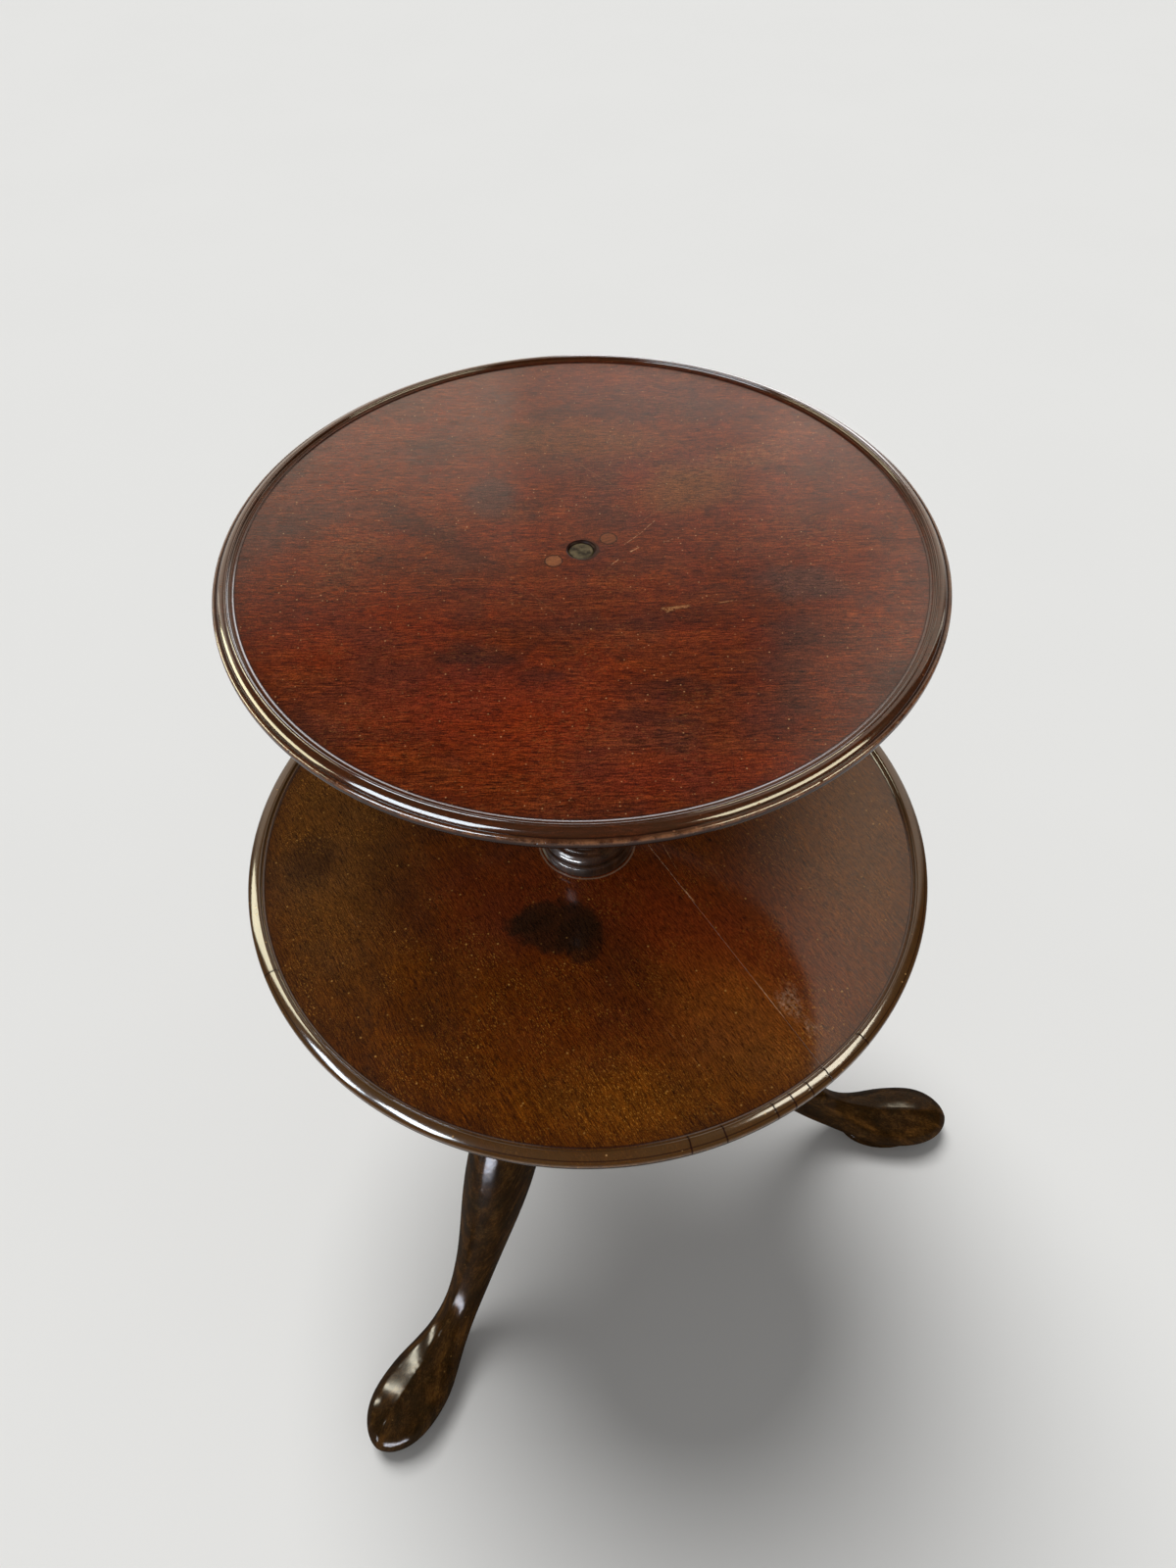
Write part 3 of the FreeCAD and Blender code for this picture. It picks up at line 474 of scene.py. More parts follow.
def randomOf(wires, low, high, seed):
    # A number for each point, or a vector where the limits are vectors
    kind = "FLOAT_VECTOR" if isinstance(low, tuple) else "FLOAT"
    values = {"Min": low, "Max": high, "Seed": seed}
    return wires.add("FunctionNodeRandomValue", values, data_type=kind).outputs["Value"]


def rimWearTree():
    # Cracks across a rim and small nicks along its outer edge, cut out of the piece
    group, wires, given = newTree("rimWear", (
        ("Crack places", "Object", None),
        ("Crack width", "Float", 0.0005),
        ("Crack length", "Float", 0.012),
        ("Crack depth", "Float", 0.0025),
        ("Nick count", "Int", 60),
        ("Nick radius", "Float", 0.23),
        ("Nick height", "Float", 0.86),
        ("Nick size", "Float", 0.001),
        ("Seed", "Int", 3),
        ("Material", "Material", None),
    ))
    places = wires.add("GeometryNodeObjectInfo", {"Object": given["Crack places"]},
                       transform_space="ORIGINAL").outputs["Geometry"]
    size = wires.joined(given["Crack length"], given["Crack width"], given["Crack depth"])
    blade = wires.out("GeometryNodeMeshCube", {"Size": size})
    cracks = wires.out("GeometryNodeInstanceOnPoints", {
        "Points": places,
        "Instance": blade,
        "Rotation": facing(wires),
    })
    ring = wires.out("GeometryNodeMeshCircle", {
        "Vertices": given["Nick count"],
        "Radius": given["Nick radius"],
    })
    drift = randomOf(wires, -0.9, 0.9, given["Seed"])
    moved = wires.turned(wires.out("GeometryNodeInputPosition"), wires.math("DIVIDE", drift, 12.0))
    jitter = randomOf(wires, (-1, -1, -1), (1, 1, 1), wires.whole("ADD", given["Seed"], 1))
    stretch = randomOf(wires, (0.25, 0.5, 0.25), (0.55, 1.9, 0.6), wires.whole("ADD", given["Seed"], 2))
    spread = wires.vector("ADD", wires.joined(0.0, 0.0, given["Nick height"]),
                          wires.vector("SCALE", jitter, wires.times(given["Nick size"], 0.9)))
    spots = wires.out("GeometryNodeSetPosition", {"Geometry": ring, "Position": moved, "Offset": spread})
    bead = wires.out("GeometryNodeMeshIcoSphere", {"Radius": given["Nick size"], "Subdivisions": 2})
    nicks = wires.out("GeometryNodeInstanceOnPoints", {
        "Points": spots,
        "Instance": bead,
        "Rotation": facing(wires),
        "Scale": stretch,
    })
    both = wires.add("GeometryNodeJoinGeometry")
    for part in (cracks, nicks):
        wires.feed(both.inputs[0], part)
    cutters = wires.out("GeometryNodeRealizeInstances", {0: both.outputs[0]})
    cut = wires.out("GeometryNodeMeshBoolean", {"Mesh 1": given["Geometry"], "Mesh 2": cutters},
                    operation="DIFFERENCE", solver="MANIFOLD")
    smooth = wires.out("GeometryNodeSetShadeSmooth", {"Geometry": cut})
    sharp = wires.math("GREATER_THAN", wires.out("GeometryNodeInputMeshEdgeAngle"), math.radians(38))
    edges = {"Geometry": smooth, "Selection": sharp, "Shade Smooth": False}
    edged = wires.out("GeometryNodeSetShadeSmooth", edges, domain="EDGE")
    finishTree(wires, edged, given)
    return group


def settle(piece):
    bpy.context.view_layer.update()
    shaped = piece.evaluated_get(bpy.context.evaluated_depsgraph_get())
    mesh = bpy.data.meshes.new_from_object(shaped)
    piece.modifiers.clear()
    piece.data = mesh


def grow(piece, tree, inputs):
    # Gives a piece a tree with its inputs set, and turns what comes out into the piece's own mesh
    modifier = piece.modifiers.new(tree.name, "NODES")
    modifier.node_group = tree
    for name, value in inputs.items():
        modifier[socketOf(tree, name)] = value
    settle(piece)


def meshPiece(name, points, faces=()):
    mesh = bpy.data.meshes.new(name)
    mesh.from_pydata([tuple(point) for point in points], [], [tuple(face) for face in faces])
    return newObject(name, mesh)


def outlinePiece(name, corners, soft, closed=True):
    outline = softOutline(corners, soft, closed)
    return meshPiece(name, [(across * mm, 0, up * mm) for across, up in outline])


def subtract(piece, cutter):
    modifier = piece.modifiers.new("cut", "BOOLEAN")
    modifier.object, modifier.operation, modifier.solver = cutter, "DIFFERENCE", "EXACT"
    settle(piece)
    bpy.data.objects.remove(cutter)


def disc(name, centre, radius, low, high, sides=48):
    angles = [math.tau * i / sides for i in range(sides)]
    ring = [(centre[0] + radius * math.cos(angle), centre[1] + radius * math.sin(angle)) for angle in angles]
    points = [(x, y, low) for x, y in ring] + [(x, y, high) for x, y in ring]
    faces = [tuple(reversed(range(sides))), tuple(range(sides, 2 * sides))]
    faces += [(i, (i + 1) % sides, sides + (i + 1) % sides, sides + i) for i in range(sides)]
    return meshPiece(name, points, faces)


turning = turningTree()
rimWear = rimWearTree()


# Wood
def grainPlace(wires, turns):
    # Object coordinates in millimetres, turned until the grain runs along X
    place = wires.vector("SCALE", wires.add("ShaderNodeTexCoord").outputs["Object"], 1 / mm)
    for axis, degrees in turns:
        place = wires.turned(place, math.radians(degrees), axis)
    return place


def strands(wires, place, along, across, detail, roughness):
    # Noise whose steps are so many millimetres along the grain and across it
    drawn = wires.vector("MULTIPLY", place, (1 / along, 1 / across, 1 / across))
    return wires.noise(drawn, 1.0, detail, roughness)


def figured(wires, place, look):
    # The wood's own colour, its grain as a factor on any colour, and the height of the grain
    wander = wires.vector("SCALE", wires.noise(place, 1 / 70, 2, output=1), look["wander"])
    flow = wires.vector("ADD", place, wander)
    ribbons = strands(wires, flow, 120, 11, 3, 0.55)
    streaks = strands(wires, flow, 22, 1.7, 3, 0.6)
    fibres = strands(wires, flow, 6, 0.9, 2, 0.6)
    pores = wires.fit(strands(wires, flow, 4.6, 0.5, 1, 0.5), 0.58, 0.70)
    tone = wires.fit(ribbons, 0.25, 0.75, 0.5 - look["ribbonShare"], 0.5 + look["ribbonShare"])
    tone = wires.math("ADD", tone, wires.fit(streaks, 0.25, 0.75, -look["streakShare"], look["streakShare"]))
    grain = wires.fit(fibres, 0.25, 0.75, 1 - look["fibreShare"], 1 + look["fibreShare"])
    dust = wires.noise(place, 1 / look["dustSize"], 1, 0.5)
    grain = wires.times(grain, wires.fit(dust, 0.25, 0.75, 1 - look["dustShare"], 1 + look["dustShare"]),
                        wires.fit(pores, 0.0, 1.0, 1.0, 1 - look["poreShare"]))
    height = wires.math("MULTIPLY_ADD", fibres, 0.5, wires.times(pores, -0.5))
    return wires.ramp(tone, look["tones"]), grain, height


def painted(wires, colour, look, layers):
    # Lays layers over a colour, each with the name of its own colour, its share and its mask
    for kind, share, mask in layers:
        colour = wires.mix(wires.times(mask, share), colour, srgb(*look[kind]))
    return colour


def blotMask(wires, place, x, y, long, wide, turn=0, soft=0.6):
    # A soft-edged oval
    local = wires.turned(wires.vector("SUBTRACT", place, (x, y, 0)), math.radians(-turn))
    reach = wires.vector("LENGTH", wires.vector("MULTIPLY", local, (1 / long, 1 / wide, 0)))
    return wires.fall(reach, 1 - soft, 1 + soft, smooth=True)


def strokeMask(wires, place, x, y, endX, endY, half=0.25):
    # A straight scratch between two ends
    turn = math.atan2(endY - y, endX - x)
    reach = math.dist((x, y), (endX, endY)) / 2
    middle = ((x + endX) / 2, (y + endY) / 2, 0)
    local = wires.turned(wires.vector("SUBTRACT", place, middle), -turn)
    parts = wires.parts(wires.vector("ABSOLUTE", local))
    side = wires.fall(parts[1], half * 0.4, half * 1.2)
    return wires.times(side, wires.fall(parts[0], reach * 0.85, reach))


def ringMask(wires, place, x, y, radius, half):
    # A thin circle
    centred = wires.vector("DISTANCE", wires.vector("MULTIPLY", place, (1, 1, 0)), (x, y, 0))
    return wires.fall(wires.apart(centred, radius), half * 0.5, half)


def splitMask(wires, place, azimuth):
    # A dark line outwards from the axis
    parts = wires.parts(wires.turned(place, math.radians(-azimuth)))
    line = wires.fall(wires.math("ABSOLUTE", parts[1]), 0.35, 0.9)
    return wires.times(line, wires.math("GREATER_THAN", parts[0], 0.0))


def finishWood(wires, shader, colour, height, gloss, film, look):
    # Colour, gloss, film and grain of polished wood on its shader
    bump = {"Height": height, "Strength": look["bump"], "Distance": 0.05 * mm}
    wires.fill(shader, {
        "Base Color": colour,
        "Roughness": gloss,
        "Specular IOR Level": look["specular"],
        "Normal": wires.out("ShaderNodeBump", bump),
        "Coat Weight": wires.times(film, look["coat"]),
        "Coat Roughness": look["coatRoughness"],
        "Coat Normal": wires.out("ShaderNodeBump", dict(bump, Strength=look["filmBump"])),
    })


def filmOf(wires, place, flat):
    # How whole the polish is: broken up finely, and again along the grain
    fine = wires.fit(wires.noise(flat, 1 / 0.8, 2, 0.6), 0.3, 0.7, 0.55, 1.45)
    brushed = wires.fit(strands(wires, place, 9, 1.1, 2, 0.6), 0.3, 0.7, 0.65, 1.35)
    return wires.times(fine, brushed)


def raggedPlaces(wires, flat, look):
    # Places torn for the ragged edges of blots, and shaken a little for thin marks
    tears = wires.noise(flat, 1 / look["tearSize"], 4, 0.65, output=1)
    ragged = wires.vector("SCALE", wires.vector("SUBTRACT", tears, (0.5, 0.5, 0.5)), look["tearReach"])
    shaken = wires.vector("ADD", flat, wires.vector("SCALE", ragged, look["shakeShare"]))
    return wires.vector("ADD", flat, ragged), shaken


def fieldMarks(wires, places, colour, grain, look):
    # Clouds, blots and scuffs, which the grain shows through, then flecks, rings, scratches and specks
    flat, place, torn, shaken = places
    clouds = [(kind, share, wires.fit(wires.noise(torn, 1 / size, 3, 0.6), 0.48, 0.68))
              for kind, share, size in look["clouds"]]
    blots = [(kind, share, blotMask(wires, torn, *mark)) for kind, share, *mark in look["blots"]]
    brushed = wires.fit(wires.noise(flat, 1 / 3, 4, 0.7), 0.4, 0.6)
    scuffs = [(kind, share, wires.times(blotMask(wires, torn, *mark), brushed))
              for kind, share, *mark in look["scuffs"]]
    colour = painted(wires, colour, look, clouds + blots + scuffs)
    colour = wires.mix(1.0, colour, grain, "MULTIPLY")

    worn = [wires.times(blotMask(wires, torn, *mark), share) for share, *mark in look["worn"]]
    fleckArea = wires.most(wires.fit(wires.noise(place, 1 / 34, 3, 0.6), 0.46, 0.66), *worn)
    clean = [wires.rest(wires.times(mask, share)) for kind, share, mask in blots if kind == "stain"]
    flecks = wires.times(wires.fit(strands(wires, place, 2.6, 0.8, 2, 0.6), 0.60, 0.68), fleckArea, *clean)
    rings = [("ringColour", share, ringMask(wires, shaken, *mark)) for share, *mark in look["rings"]]
    patchy = wires.fit(wires.noise(flat, 1 / 2, 4, 0.7), 0.42, 0.56)
    strokes = [(kind, share, wires.times(strokeMask(wires, shaken, *mark), patchy))
               for kind, share, *mark in look["strokes"]]
    specks = wires.times(wires.fall(wires.cells(flat, 1 / look["speckSpacing"]), 0.05, 0.11),
                         wires.fit(wires.noise(flat, 1 / 22, 2), 0.35, 0.6))
    return painted(wires, colour, look, [("fleckColour", look["fleckShare"], flecks), *rings, *strokes,
                                         ("speckColour", look["speckShare"], specks)])


def rimMasks(wires, flat, shaken, look):
    # Where the rim is, its dirt, wear, groove and splits, the underside, and the painted shade by the
    # field's edge, on the rim's lower outer side and in the bore
    start, arris, low = look["rimStart"], look["arrisHeight"], look["underside"]
    groove = look["rimEnd"] - look["grooveInset"]
    reach = wires.vector("LENGTH", wires.vector("MULTIPLY", flat, (1, 1, 0)))
    rise = wires.parts(flat)[2]
    rim = wires.fit(reach, start + 0.4, start + 2.0)
    scuffed = wires.fit(wires.noise(flat, 1 / 7, 5, 0.75), 0.40, 0.58)
    outside = wires.fit(reach, groove, groove + 0.4)
    splits = [splitMask(wires, shaken, azimuth) for azimuth in look["splits"]]
    return {
        # Painted shade: the field darkens towards the rim
        "edge": wires.fit(reach, start - look["edgeShadeFade"], start, smooth=True),
        "rim": rim,
        "foot": wires.fall(wires.apart(reach, start), 0.4, 1.5),
        # Painted shade: the rim darker towards its bottom, on its lower outer side
        "side": wires.times(rim, wires.fall(rise, arris - 2.4, arris - 1.0)),
        "rubbed": wires.times(wires.fall(wires.apart(rise, arris), 0.5, 1.3), outside, scuffed,
                              look["arrisShare"]),
        "groove": wires.fall(wires.apart(reach, groove), 0.1, 0.6),
        "under": wires.fall(rise, low + 0.3, low + 2.5),
        "chips": wires.times(rim, wires.fall(wires.cells(flat, 1 / 9), 0.05, 0.09)),
        "split": wires.times(wires.most(0.0, *splits), rim),
        # Painted shade in the bore
        "bore": wires.fall(reach, look["boreEnd"], look["boreEnd"] + 0.5),
    }


def rimMarks(wires, flat, place, masks, colour, look):
    # The rim is darker than the field, with dirt at its foot, a dark line along its groove and pale wear on
    # its outer arris; painted shade darkens the field towards the rim, the rim's lower outer side and the
    # bore
    patch = wires.fit(wires.noise(flat, 1 / 30, 3, 0.6), 0.35, 0.65, 0.62, 0.9)
    colour = painted(wires, colour, look, (
        # Painted shade on the field towards the rim
        ("dirtAndShade", look["edgeShadeShare"], masks["edge"]),
        ("rimColour", patch, masks["rim"]),
        ("dirtAndShade", 0.7, masks["foot"]),
        # Painted shade on the rim's lower outer side
        ("dirtAndShade", 0.85, masks["side"]),
        ("bareWood", 1.0, masks["rubbed"]),
        ("dirtAndShade", 0.8, masks["groove"]),
    ))
    fibres = strands(wires, place, 24, 1.2, 4, 0.65)
    rawWood = wires.mix(fibres, *(srgb(*shade) for shade in look["rawWood"]))
    colour = wires.mix(wires.times(masks["under"], 0.8), colour, rawWood)
    return painted(wires, colour, look, (
        ("bareWood", 0.55, masks["chips"]),
        ("dirtAndShade", 0.9, masks["split"]),
        # Painted shade in the bore
        ("dirtAndShade", 1.0, masks["bore"]),
    ))


def trayFilm(wires, flat, place, masks, look):
    # The polish is gone where the wood is bare, fuller on the rim and thin on its outer side
    bare = wires.most(*(masks[name] for name in ("rubbed", "chips", "bore", "under")))
    film = wires.times(filmOf(wires, place, flat), wires.rest(bare))
    film = wires.math("MULTIPLY", film, wires.fit(masks["rim"], 0.0, 1.0, 1.0, look["rimFilm"]), clamp=True)
    side = wires.fit(masks["side"], 0.0, 1.0, 1.0, look["sideFilm"])
    return wires.times(film, side, wires.rest(masks["split"]))


def trayWood(name, look):
    material, wires, shader = newMaterial(name)
    flat, place = grainPlace(wires, ()), grainPlace(wires, look["turns"])
    torn, shaken = raggedPlaces(wires, flat, look)
    colour, grain, height = figured(wires, place, look)
    colour = fieldMarks(wires, (flat, place, torn, shaken), colour, grain, look)
    masks = rimMasks(wires, flat, shaken, look)
    colour = rimMarks(wires, flat, place, masks, colour, look)
    dull = wires.fit(wires.noise(flat, 1 / 26, 3, 0.6), 0.3, 0.7, *look["roughness"])
    gloss = wires.most(wires.fit(masks["rim"], 0.0, 1.0, dull, look["rimRoughness"]),
                       wires.times(masks["under"], 0.7))
    film = trayFilm(wires, flat, place, masks, look)
    finishWood(wires, shader, colour, height, gloss, film, look)
    return material


def turnedWood(name, look):
    # Wood of the column, blocks, pegs and legs: clouded, and rubbed in patches and specks
    material, wires, shader = newMaterial(name)
    flat = grainPlace(wires, ())
    colour, grain, height = figured(wires, grainPlace(wires, look["turns"]), look)
    clouds = wires.fit(wires.noise(flat, 1 / 28, 4, 0.6), 0.42, 0.66)
    colour = painted(wires, colour, look, [("cloudColour", look["cloudShare"], clouds)])
    colour = wires.mix(1.0, colour, grain, "MULTIPLY")
    rubbed = wires.fit(wires.noise(flat, 1 / look["rubSize"], 5, 0.7), 0.58, 0.72)
    specks = wires.fall(wires.cells(flat, 1 / 14), 0.04, 0.08)
    rubs = (("rubColour", look["rubShare"], rubbed), ("rubColour", 0.4, specks))
    colour = painted(wires, colour, look, rubs)
    gloss = wires.fit(wires.noise(flat, 1 / 18, 3, 0.6), 0.3, 0.7, *look["roughness"])
    finishWood(wires, shader, colour, height, gloss, filmOf(wires, flat, flat), look)
    return material


# Colours as seen, 0 to 255, and lengths in mm. Each mark has its share, and then, for clouds, a size, for
# blots, scuffs and worn places, x, y, half length, half width, turn and softness, for rings, x, y, radius
# and half width, and for strokes, two ends and half width. Splits are azimuths across the rim.
topWood = {
    "turns": (("Z_AXIS", -2.2),),
    "tones": ((46, 12, 3), (92, 35, 9), (132, 62, 22)),
    "wander": 9.0,
    "ribbonShare": 0.10,
    "streakShare": 0.24,
    "fibreShare": 0.85,
    "dustSize": 0.8,
    "dustShare": 0.6,
    "poreShare": 0.4,
    "clouds": (("dark", 0.5, 46.0), ("red", 0.2, 30.0), ("smoke", 0.24, 90.0)),
    "dark": (40, 22, 16),
    "smoke": (62, 44, 38),
    "red": (118, 32, 8),
    "olive": (98, 62, 26),
    "tan": (150, 104, 62),
    "pale": (196, 150, 104),
    "bareWood": (136, 92, 62),
    # Dark colour for dirt and split cracks, and for painted shade by the field's edge, on the rim's lower
    # outer side and in the bore
    "dirtAndShade": (30, 14, 9),
    "rimColour": (54, 33, 18),
    "rawWood": ((74, 44, 26), (118, 78, 50)),
    "rimStart": 216.4,
    "rimEnd": 230.0,
    "arrisHeight": 864.4,
    "arrisShare": 0.7,
    "rimFilm": 1.5,
    "boreEnd": 9.3,
    "underside": 848.2,
    # Share and width of the painted shade on the field towards the rim
    "edgeShadeShare": 0.25,
    "edgeShadeFade": 16.0,
    "grooveInset": 2.6,
    "sideFilm": 0.35,
    "tearSize": 16.0,
    "tearReach": 26.0,
    "shakeShare": 0.06,
    "blots": (
        ("red", 0.34, -45, -135, 70, 34), ("red", 0.22, -130, -75, 60, 34),
        ("red", 0.25, 60, -185, 80, 16), ("red", 0.25, 38, 60, 12, 34, 8),
        ("olive", 0.5, 68, 62, 34, 20, 20), ("olive", 0.35, -10, 120, 60, 22),
        ("smoke", 0.65, -61, 53, 17, 19, 0, 0.4), ("dark", 0.5, -95, 15, 52, 10, -38),
        ("dark", 0.6, -58, -97, 26, 9, 0, 0.5), ("dark", 0.45, -20, -112, 18, 6, 0, 0.5),
        ("dark", 0.42, 60, -122, 34, 7), ("dark", 0.42, 45, -143, 26, 5),
        ("dark", 0.35, 0, -70, 60, 8, 4), ("smoke", 0.6, 136, -30, 26, 15, -10, 0.5),
        ("dark", 0.35, 150, -78, 26, 7), ("dark", 0.3, -8, 150, 50, 6),
        ("dark", 0.3, -110, -160, 44, 6),
    ),
    "scuffs": (("tan", 0.12, -150, -12, 26, 30), ("tan", 0.2, 100, 96, 40, 12, 20)),
    "splits": (),
    "ringColour": (38, 24, 13),
    "rings": (
        (0.7, 16.97, 11.15, 5.5, 0.7), (0.7, -16.97, -11.15, 5.5, 0.7), (0.85, 1.5, -0.5, 9.0, 1.6),
    ),
    "worn": (
        (0.9, -150, -12, 14, 20, 0, 0.4), (0.6, -135, -45, 8, 10, 0, 0.4), (0.5, 95, 20, 22, 6, 0, 0.4),
    ),
    "strokes": (
        ("pale", 0.65, 19, -15, 24, -9, 0.35), ("pale", 0.6, 27, 5, 38, 17),
        ("pale", 0.6, 38, 17, 47, 30), ("pale", 0.95, 31, -2, 37, 3, 0.6),
        ("pale", 0.6, 52, 9, 56, 9, 0.6), ("tan", 0.9, 49, -55, 68, -52, 1.4),
        ("tan", 0.9, 52, -57, 60, -53, 1.6), ("tan", 0.8, 84, -49, 96, -46, 0.6),
        ("tan", 0.5, 36, 26, 60, 52), ("tan", 0.5, -6, 92, 22, 64), ("tan", 0.45, -112, 58, -86, 96),
        ("tan", 0.45, -150, -60, -118, -52), ("tan", 0.5, 70, 74, 96, 92, 0.3),
        ("tan", 0.4, 120, 10, 164, 22), ("tan", 0.45, -40, -30, -12, -62, 0.2),
    ),
    "fleckColour": (150, 96, 50),
    "fleckShare": 0.5,
    "speckColour": (206, 156, 104),
    "speckShare": 0.8,
    "speckSpacing": 5.0,
    "roughness": (0.3, 0.42),
    "rimRoughness": 0.2,
    "bump": 0.4,
    "filmBump": 0.06,
    "specular": 0.02,
    "coat": 0.6,
    "coatRoughness": 0.09,
}
lowWood = dict(
    topWood,
    turns=(("Z_AXIS", 57.9),),
    tones=((38, 15, 1), (76, 35, 3), (116, 64, 10)),
    dark=(36, 18, 7),
    stain=(32, 18, 8),
    gold=(150, 96, 30),
    haze=(150, 124, 100),
    olive=(84, 58, 24),
    rust=(116, 46, 14),
    red=(92, 32, 9),
    bareWood=(190, 146, 92),
    rimColour=(72, 50, 26),
    streakShare=0.15,
    rimStart=265.45,
    rimEnd=278.3,
    arrisHeight=559.2,
    arrisShare=0.2,
    boreEnd=17.5,
    underside=540.9,
    blots=(
        ("red", 0.55, -20, -60, 110, 60), ("red", 0.45, 90, -95, 60, 34, -30),
        ("olive", 0.45, -215, 0, 56, 130, 10, 0.8), ("rust", 0.35, 125, -105, 90, 70, -35, 0.8),
        ("gold", 0.16, 225, 40, 56, 110, 0, 0.8), ("dark", 0.55, -226, -23, 20, 26, 0, 0.5),
        ("dark", 0.35, -150, -60, 60, 24, -58), ("dark", 0.35, 30, -120, 26, 60, 30),
        ("dark", 0.3, -90, -190, 40, 14, -58), ("stain", 0.85, -22, -86, 34, 24, 0, 0.18),
        ("stain", 0.7, -2, -98, 17, 20, 0, 0.2), ("stain", 0.6, -44, -84, 20, 10, 0, 0.25),
        ("gold", 0.08, 40, -225, 60, 34, 0, 0.7), ("gold", 0.16, 120, -170, 60, 40, -40, 0.7),
        ("red", 0.25, 20, -170, 90, 40, 0, 0.7),
    ),
    scuffs=(("haze", 0.45, 157, -150, 8, 14, 20), ("haze", 0.4, 168, -172, 5, 7)),
    ringColour=(150, 132, 112),
    rings=((0.4, 0, 0, 40.2, 0.9),),
    splits=(-41, -49.5, -53.2, -56.5, -59.7, -68.1, -73.5, -151),
    clouds=(("dark", 0.45, 60.0), ("smoke", 0.12, 110.0)),
    worn=(
        (1.0, 30, -225, 60, 36), (0.8, -120, -215, 70, 18, 28), (0.8, 170, -180, 50, 16, 50),
        (0.6, -205, -90, 26, 50, 28), (0.5, 200, -60, 20, 40),
    ),
    strokes=(
        ("pale", 0.55, 50, -4, 88, -63, 0.3), ("pale", 0.8, 80, -50, 88, -62, 0.45),
        ("pale", 0.12, 88, -63, 130, -131, 0.3), ("pale", 0.75, 130, -131, 150, -162, 0.4),
        ("dark", 0.8, 150, -163, 170, -195, 0.6), ("pale", 0.4, 62, -2, 74, -30),
        ("tan", 0.45, 100, -20, 116, -52), ("tan", 0.45, 60, -170, 96, -214),
        ("tan", 0.4, -190, -70, -176, -94, 0.3),
    ),
    fleckColour=(168, 112, 40),
    fleckShare=0.8,
    speckColour=(190, 140, 70),
    speckShare=0.6,
    speckSpacing=9.0,
)
darkWood = {
    "turns": (("Y_AXIS", 90),),
    "tones": ((20, 12, 4), (47, 29, 10), (86, 56, 23)),
    "wander": 9.0,
    "ribbonShare": 0.3,
    "streakShare": 0.2,
    "fibreShare": 0.3,
    "dustSize": 1.2,
    "dustShare": 0.2,
    "poreShare": 0.4,
    "cloudColour": (30, 24, 14),
    "cloudShare": 0.5,
    "rubColour": (120, 88, 48),
    "rubShare": 0.22,
    "rubSize": 16.0,
    "roughness": (0.42, 0.58),
    "bump": 0.4,
    "filmBump": 0.04,
    "specular": 0.0,
    "coat": 0.08,
    "coatRoughness": 0.14,
}
columnWood = dict(
    darkWood,
    tones=((34, 18, 9), (64, 37, 20), (98, 61, 36)),
    specular=0.1,
    coat=0.55,
)
blockWood = dict(
    darkWood,
    specular=0.2,
    tones=((34, 17, 9), (70, 39, 20), (104, 64, 34)),
    roughness=(0.42, 0.6),
    coat=0.1,
    coatRoughness=0.3,
)
pegWood = dict(
    darkWood,
    turns=(("Z_AXIS", -20),),
    tones=((72, 36, 16), (112, 60, 32), (138, 84, 46)),
    cloudColour=(54, 28, 16),
    rubColour=(140, 94, 52),
    roughness=(0.3, 0.45),
    specular=0.14,
    cloudShare=0.1,
    coat=0.3,
    coatRoughness=0.16,
)


def metalSkin(name, look):
    # Old metal: oxide over bare metal, duller where the oxide is, with pits
    material, wires, shader = newMaterial(name)
    place = grainPlace(wires, ())
    oxide = wires.fit(wires.noise(place, 1 / look["patch"], 5, 0.65), 0.4, 0.62)
    stains = wires.fit(wires.noise(place, 3 / look["patch"], 3, 0.6, 0.4), 0.55, 0.7)
    colour = painted(wires, srgb(*look["bare"]), look, (("oxide", 1.0, oxide), ("stain", 0.6, stains)))
    pits = wires.fit(wires.cells(place, 2.2 / look["patch"]), 0.1, 0.3)
    rough = wires.math("MULTIPLY_ADD", wires.noise(place, 8 / look["patch"], 4, 0.6), 0.6, pits)
    bump = {"Height": rough, "Strength": look["bump"], "Distance": 0.2 * mm}
    wires.fill(shader, {
        "Base Color": colour,
        "Metallic": wires.fit(oxide, 0.0, 1.0, look["metallic"], look["metallic"] * 0.4),
        "Roughness": wires.fit(oxide, 0.0, 1.0, *look["roughness"]),
        "Normal": wires.out("ShaderNodeBump", bump),
    })
    return material


metals = {
    "dark_iron": {"bare": (74, 70, 66), "oxide": (38, 31, 27), "stain": (76, 44, 26), "patch": 9.0,
                  "metallic": 0.9, "roughness": (0.38, 0.72), "bump": 0.5},
    "screw_iron": {"bare": (112, 108, 100), "oxide": (56, 46, 40), "stain": (90, 54, 32), "patch": 4.0,
                   "metallic": 0.9, "roughness": (0.32, 0.6), "bump": 0.3},
    "pin_iron": {"bare": (82, 72, 46), "oxide": (34, 29, 18), "stain": (58, 38, 20), "patch": 5.0,
                 "metallic": 0.2, "roughness": (0.5, 0.8), "bump": 0.7},
    "worn_brass": {"bare": (176, 136, 74), "oxide": (104, 76, 40), "stain": (70, 62, 40), "patch": 7.0,
                   "metallic": 1.0, "roughness": (0.28, 0.5), "bump": 0.2},
}


def dress(nodes, material):
    for node in nodes:
        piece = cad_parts[node]
        piece.data.materials.clear()
        piece.data.materials.append(material)


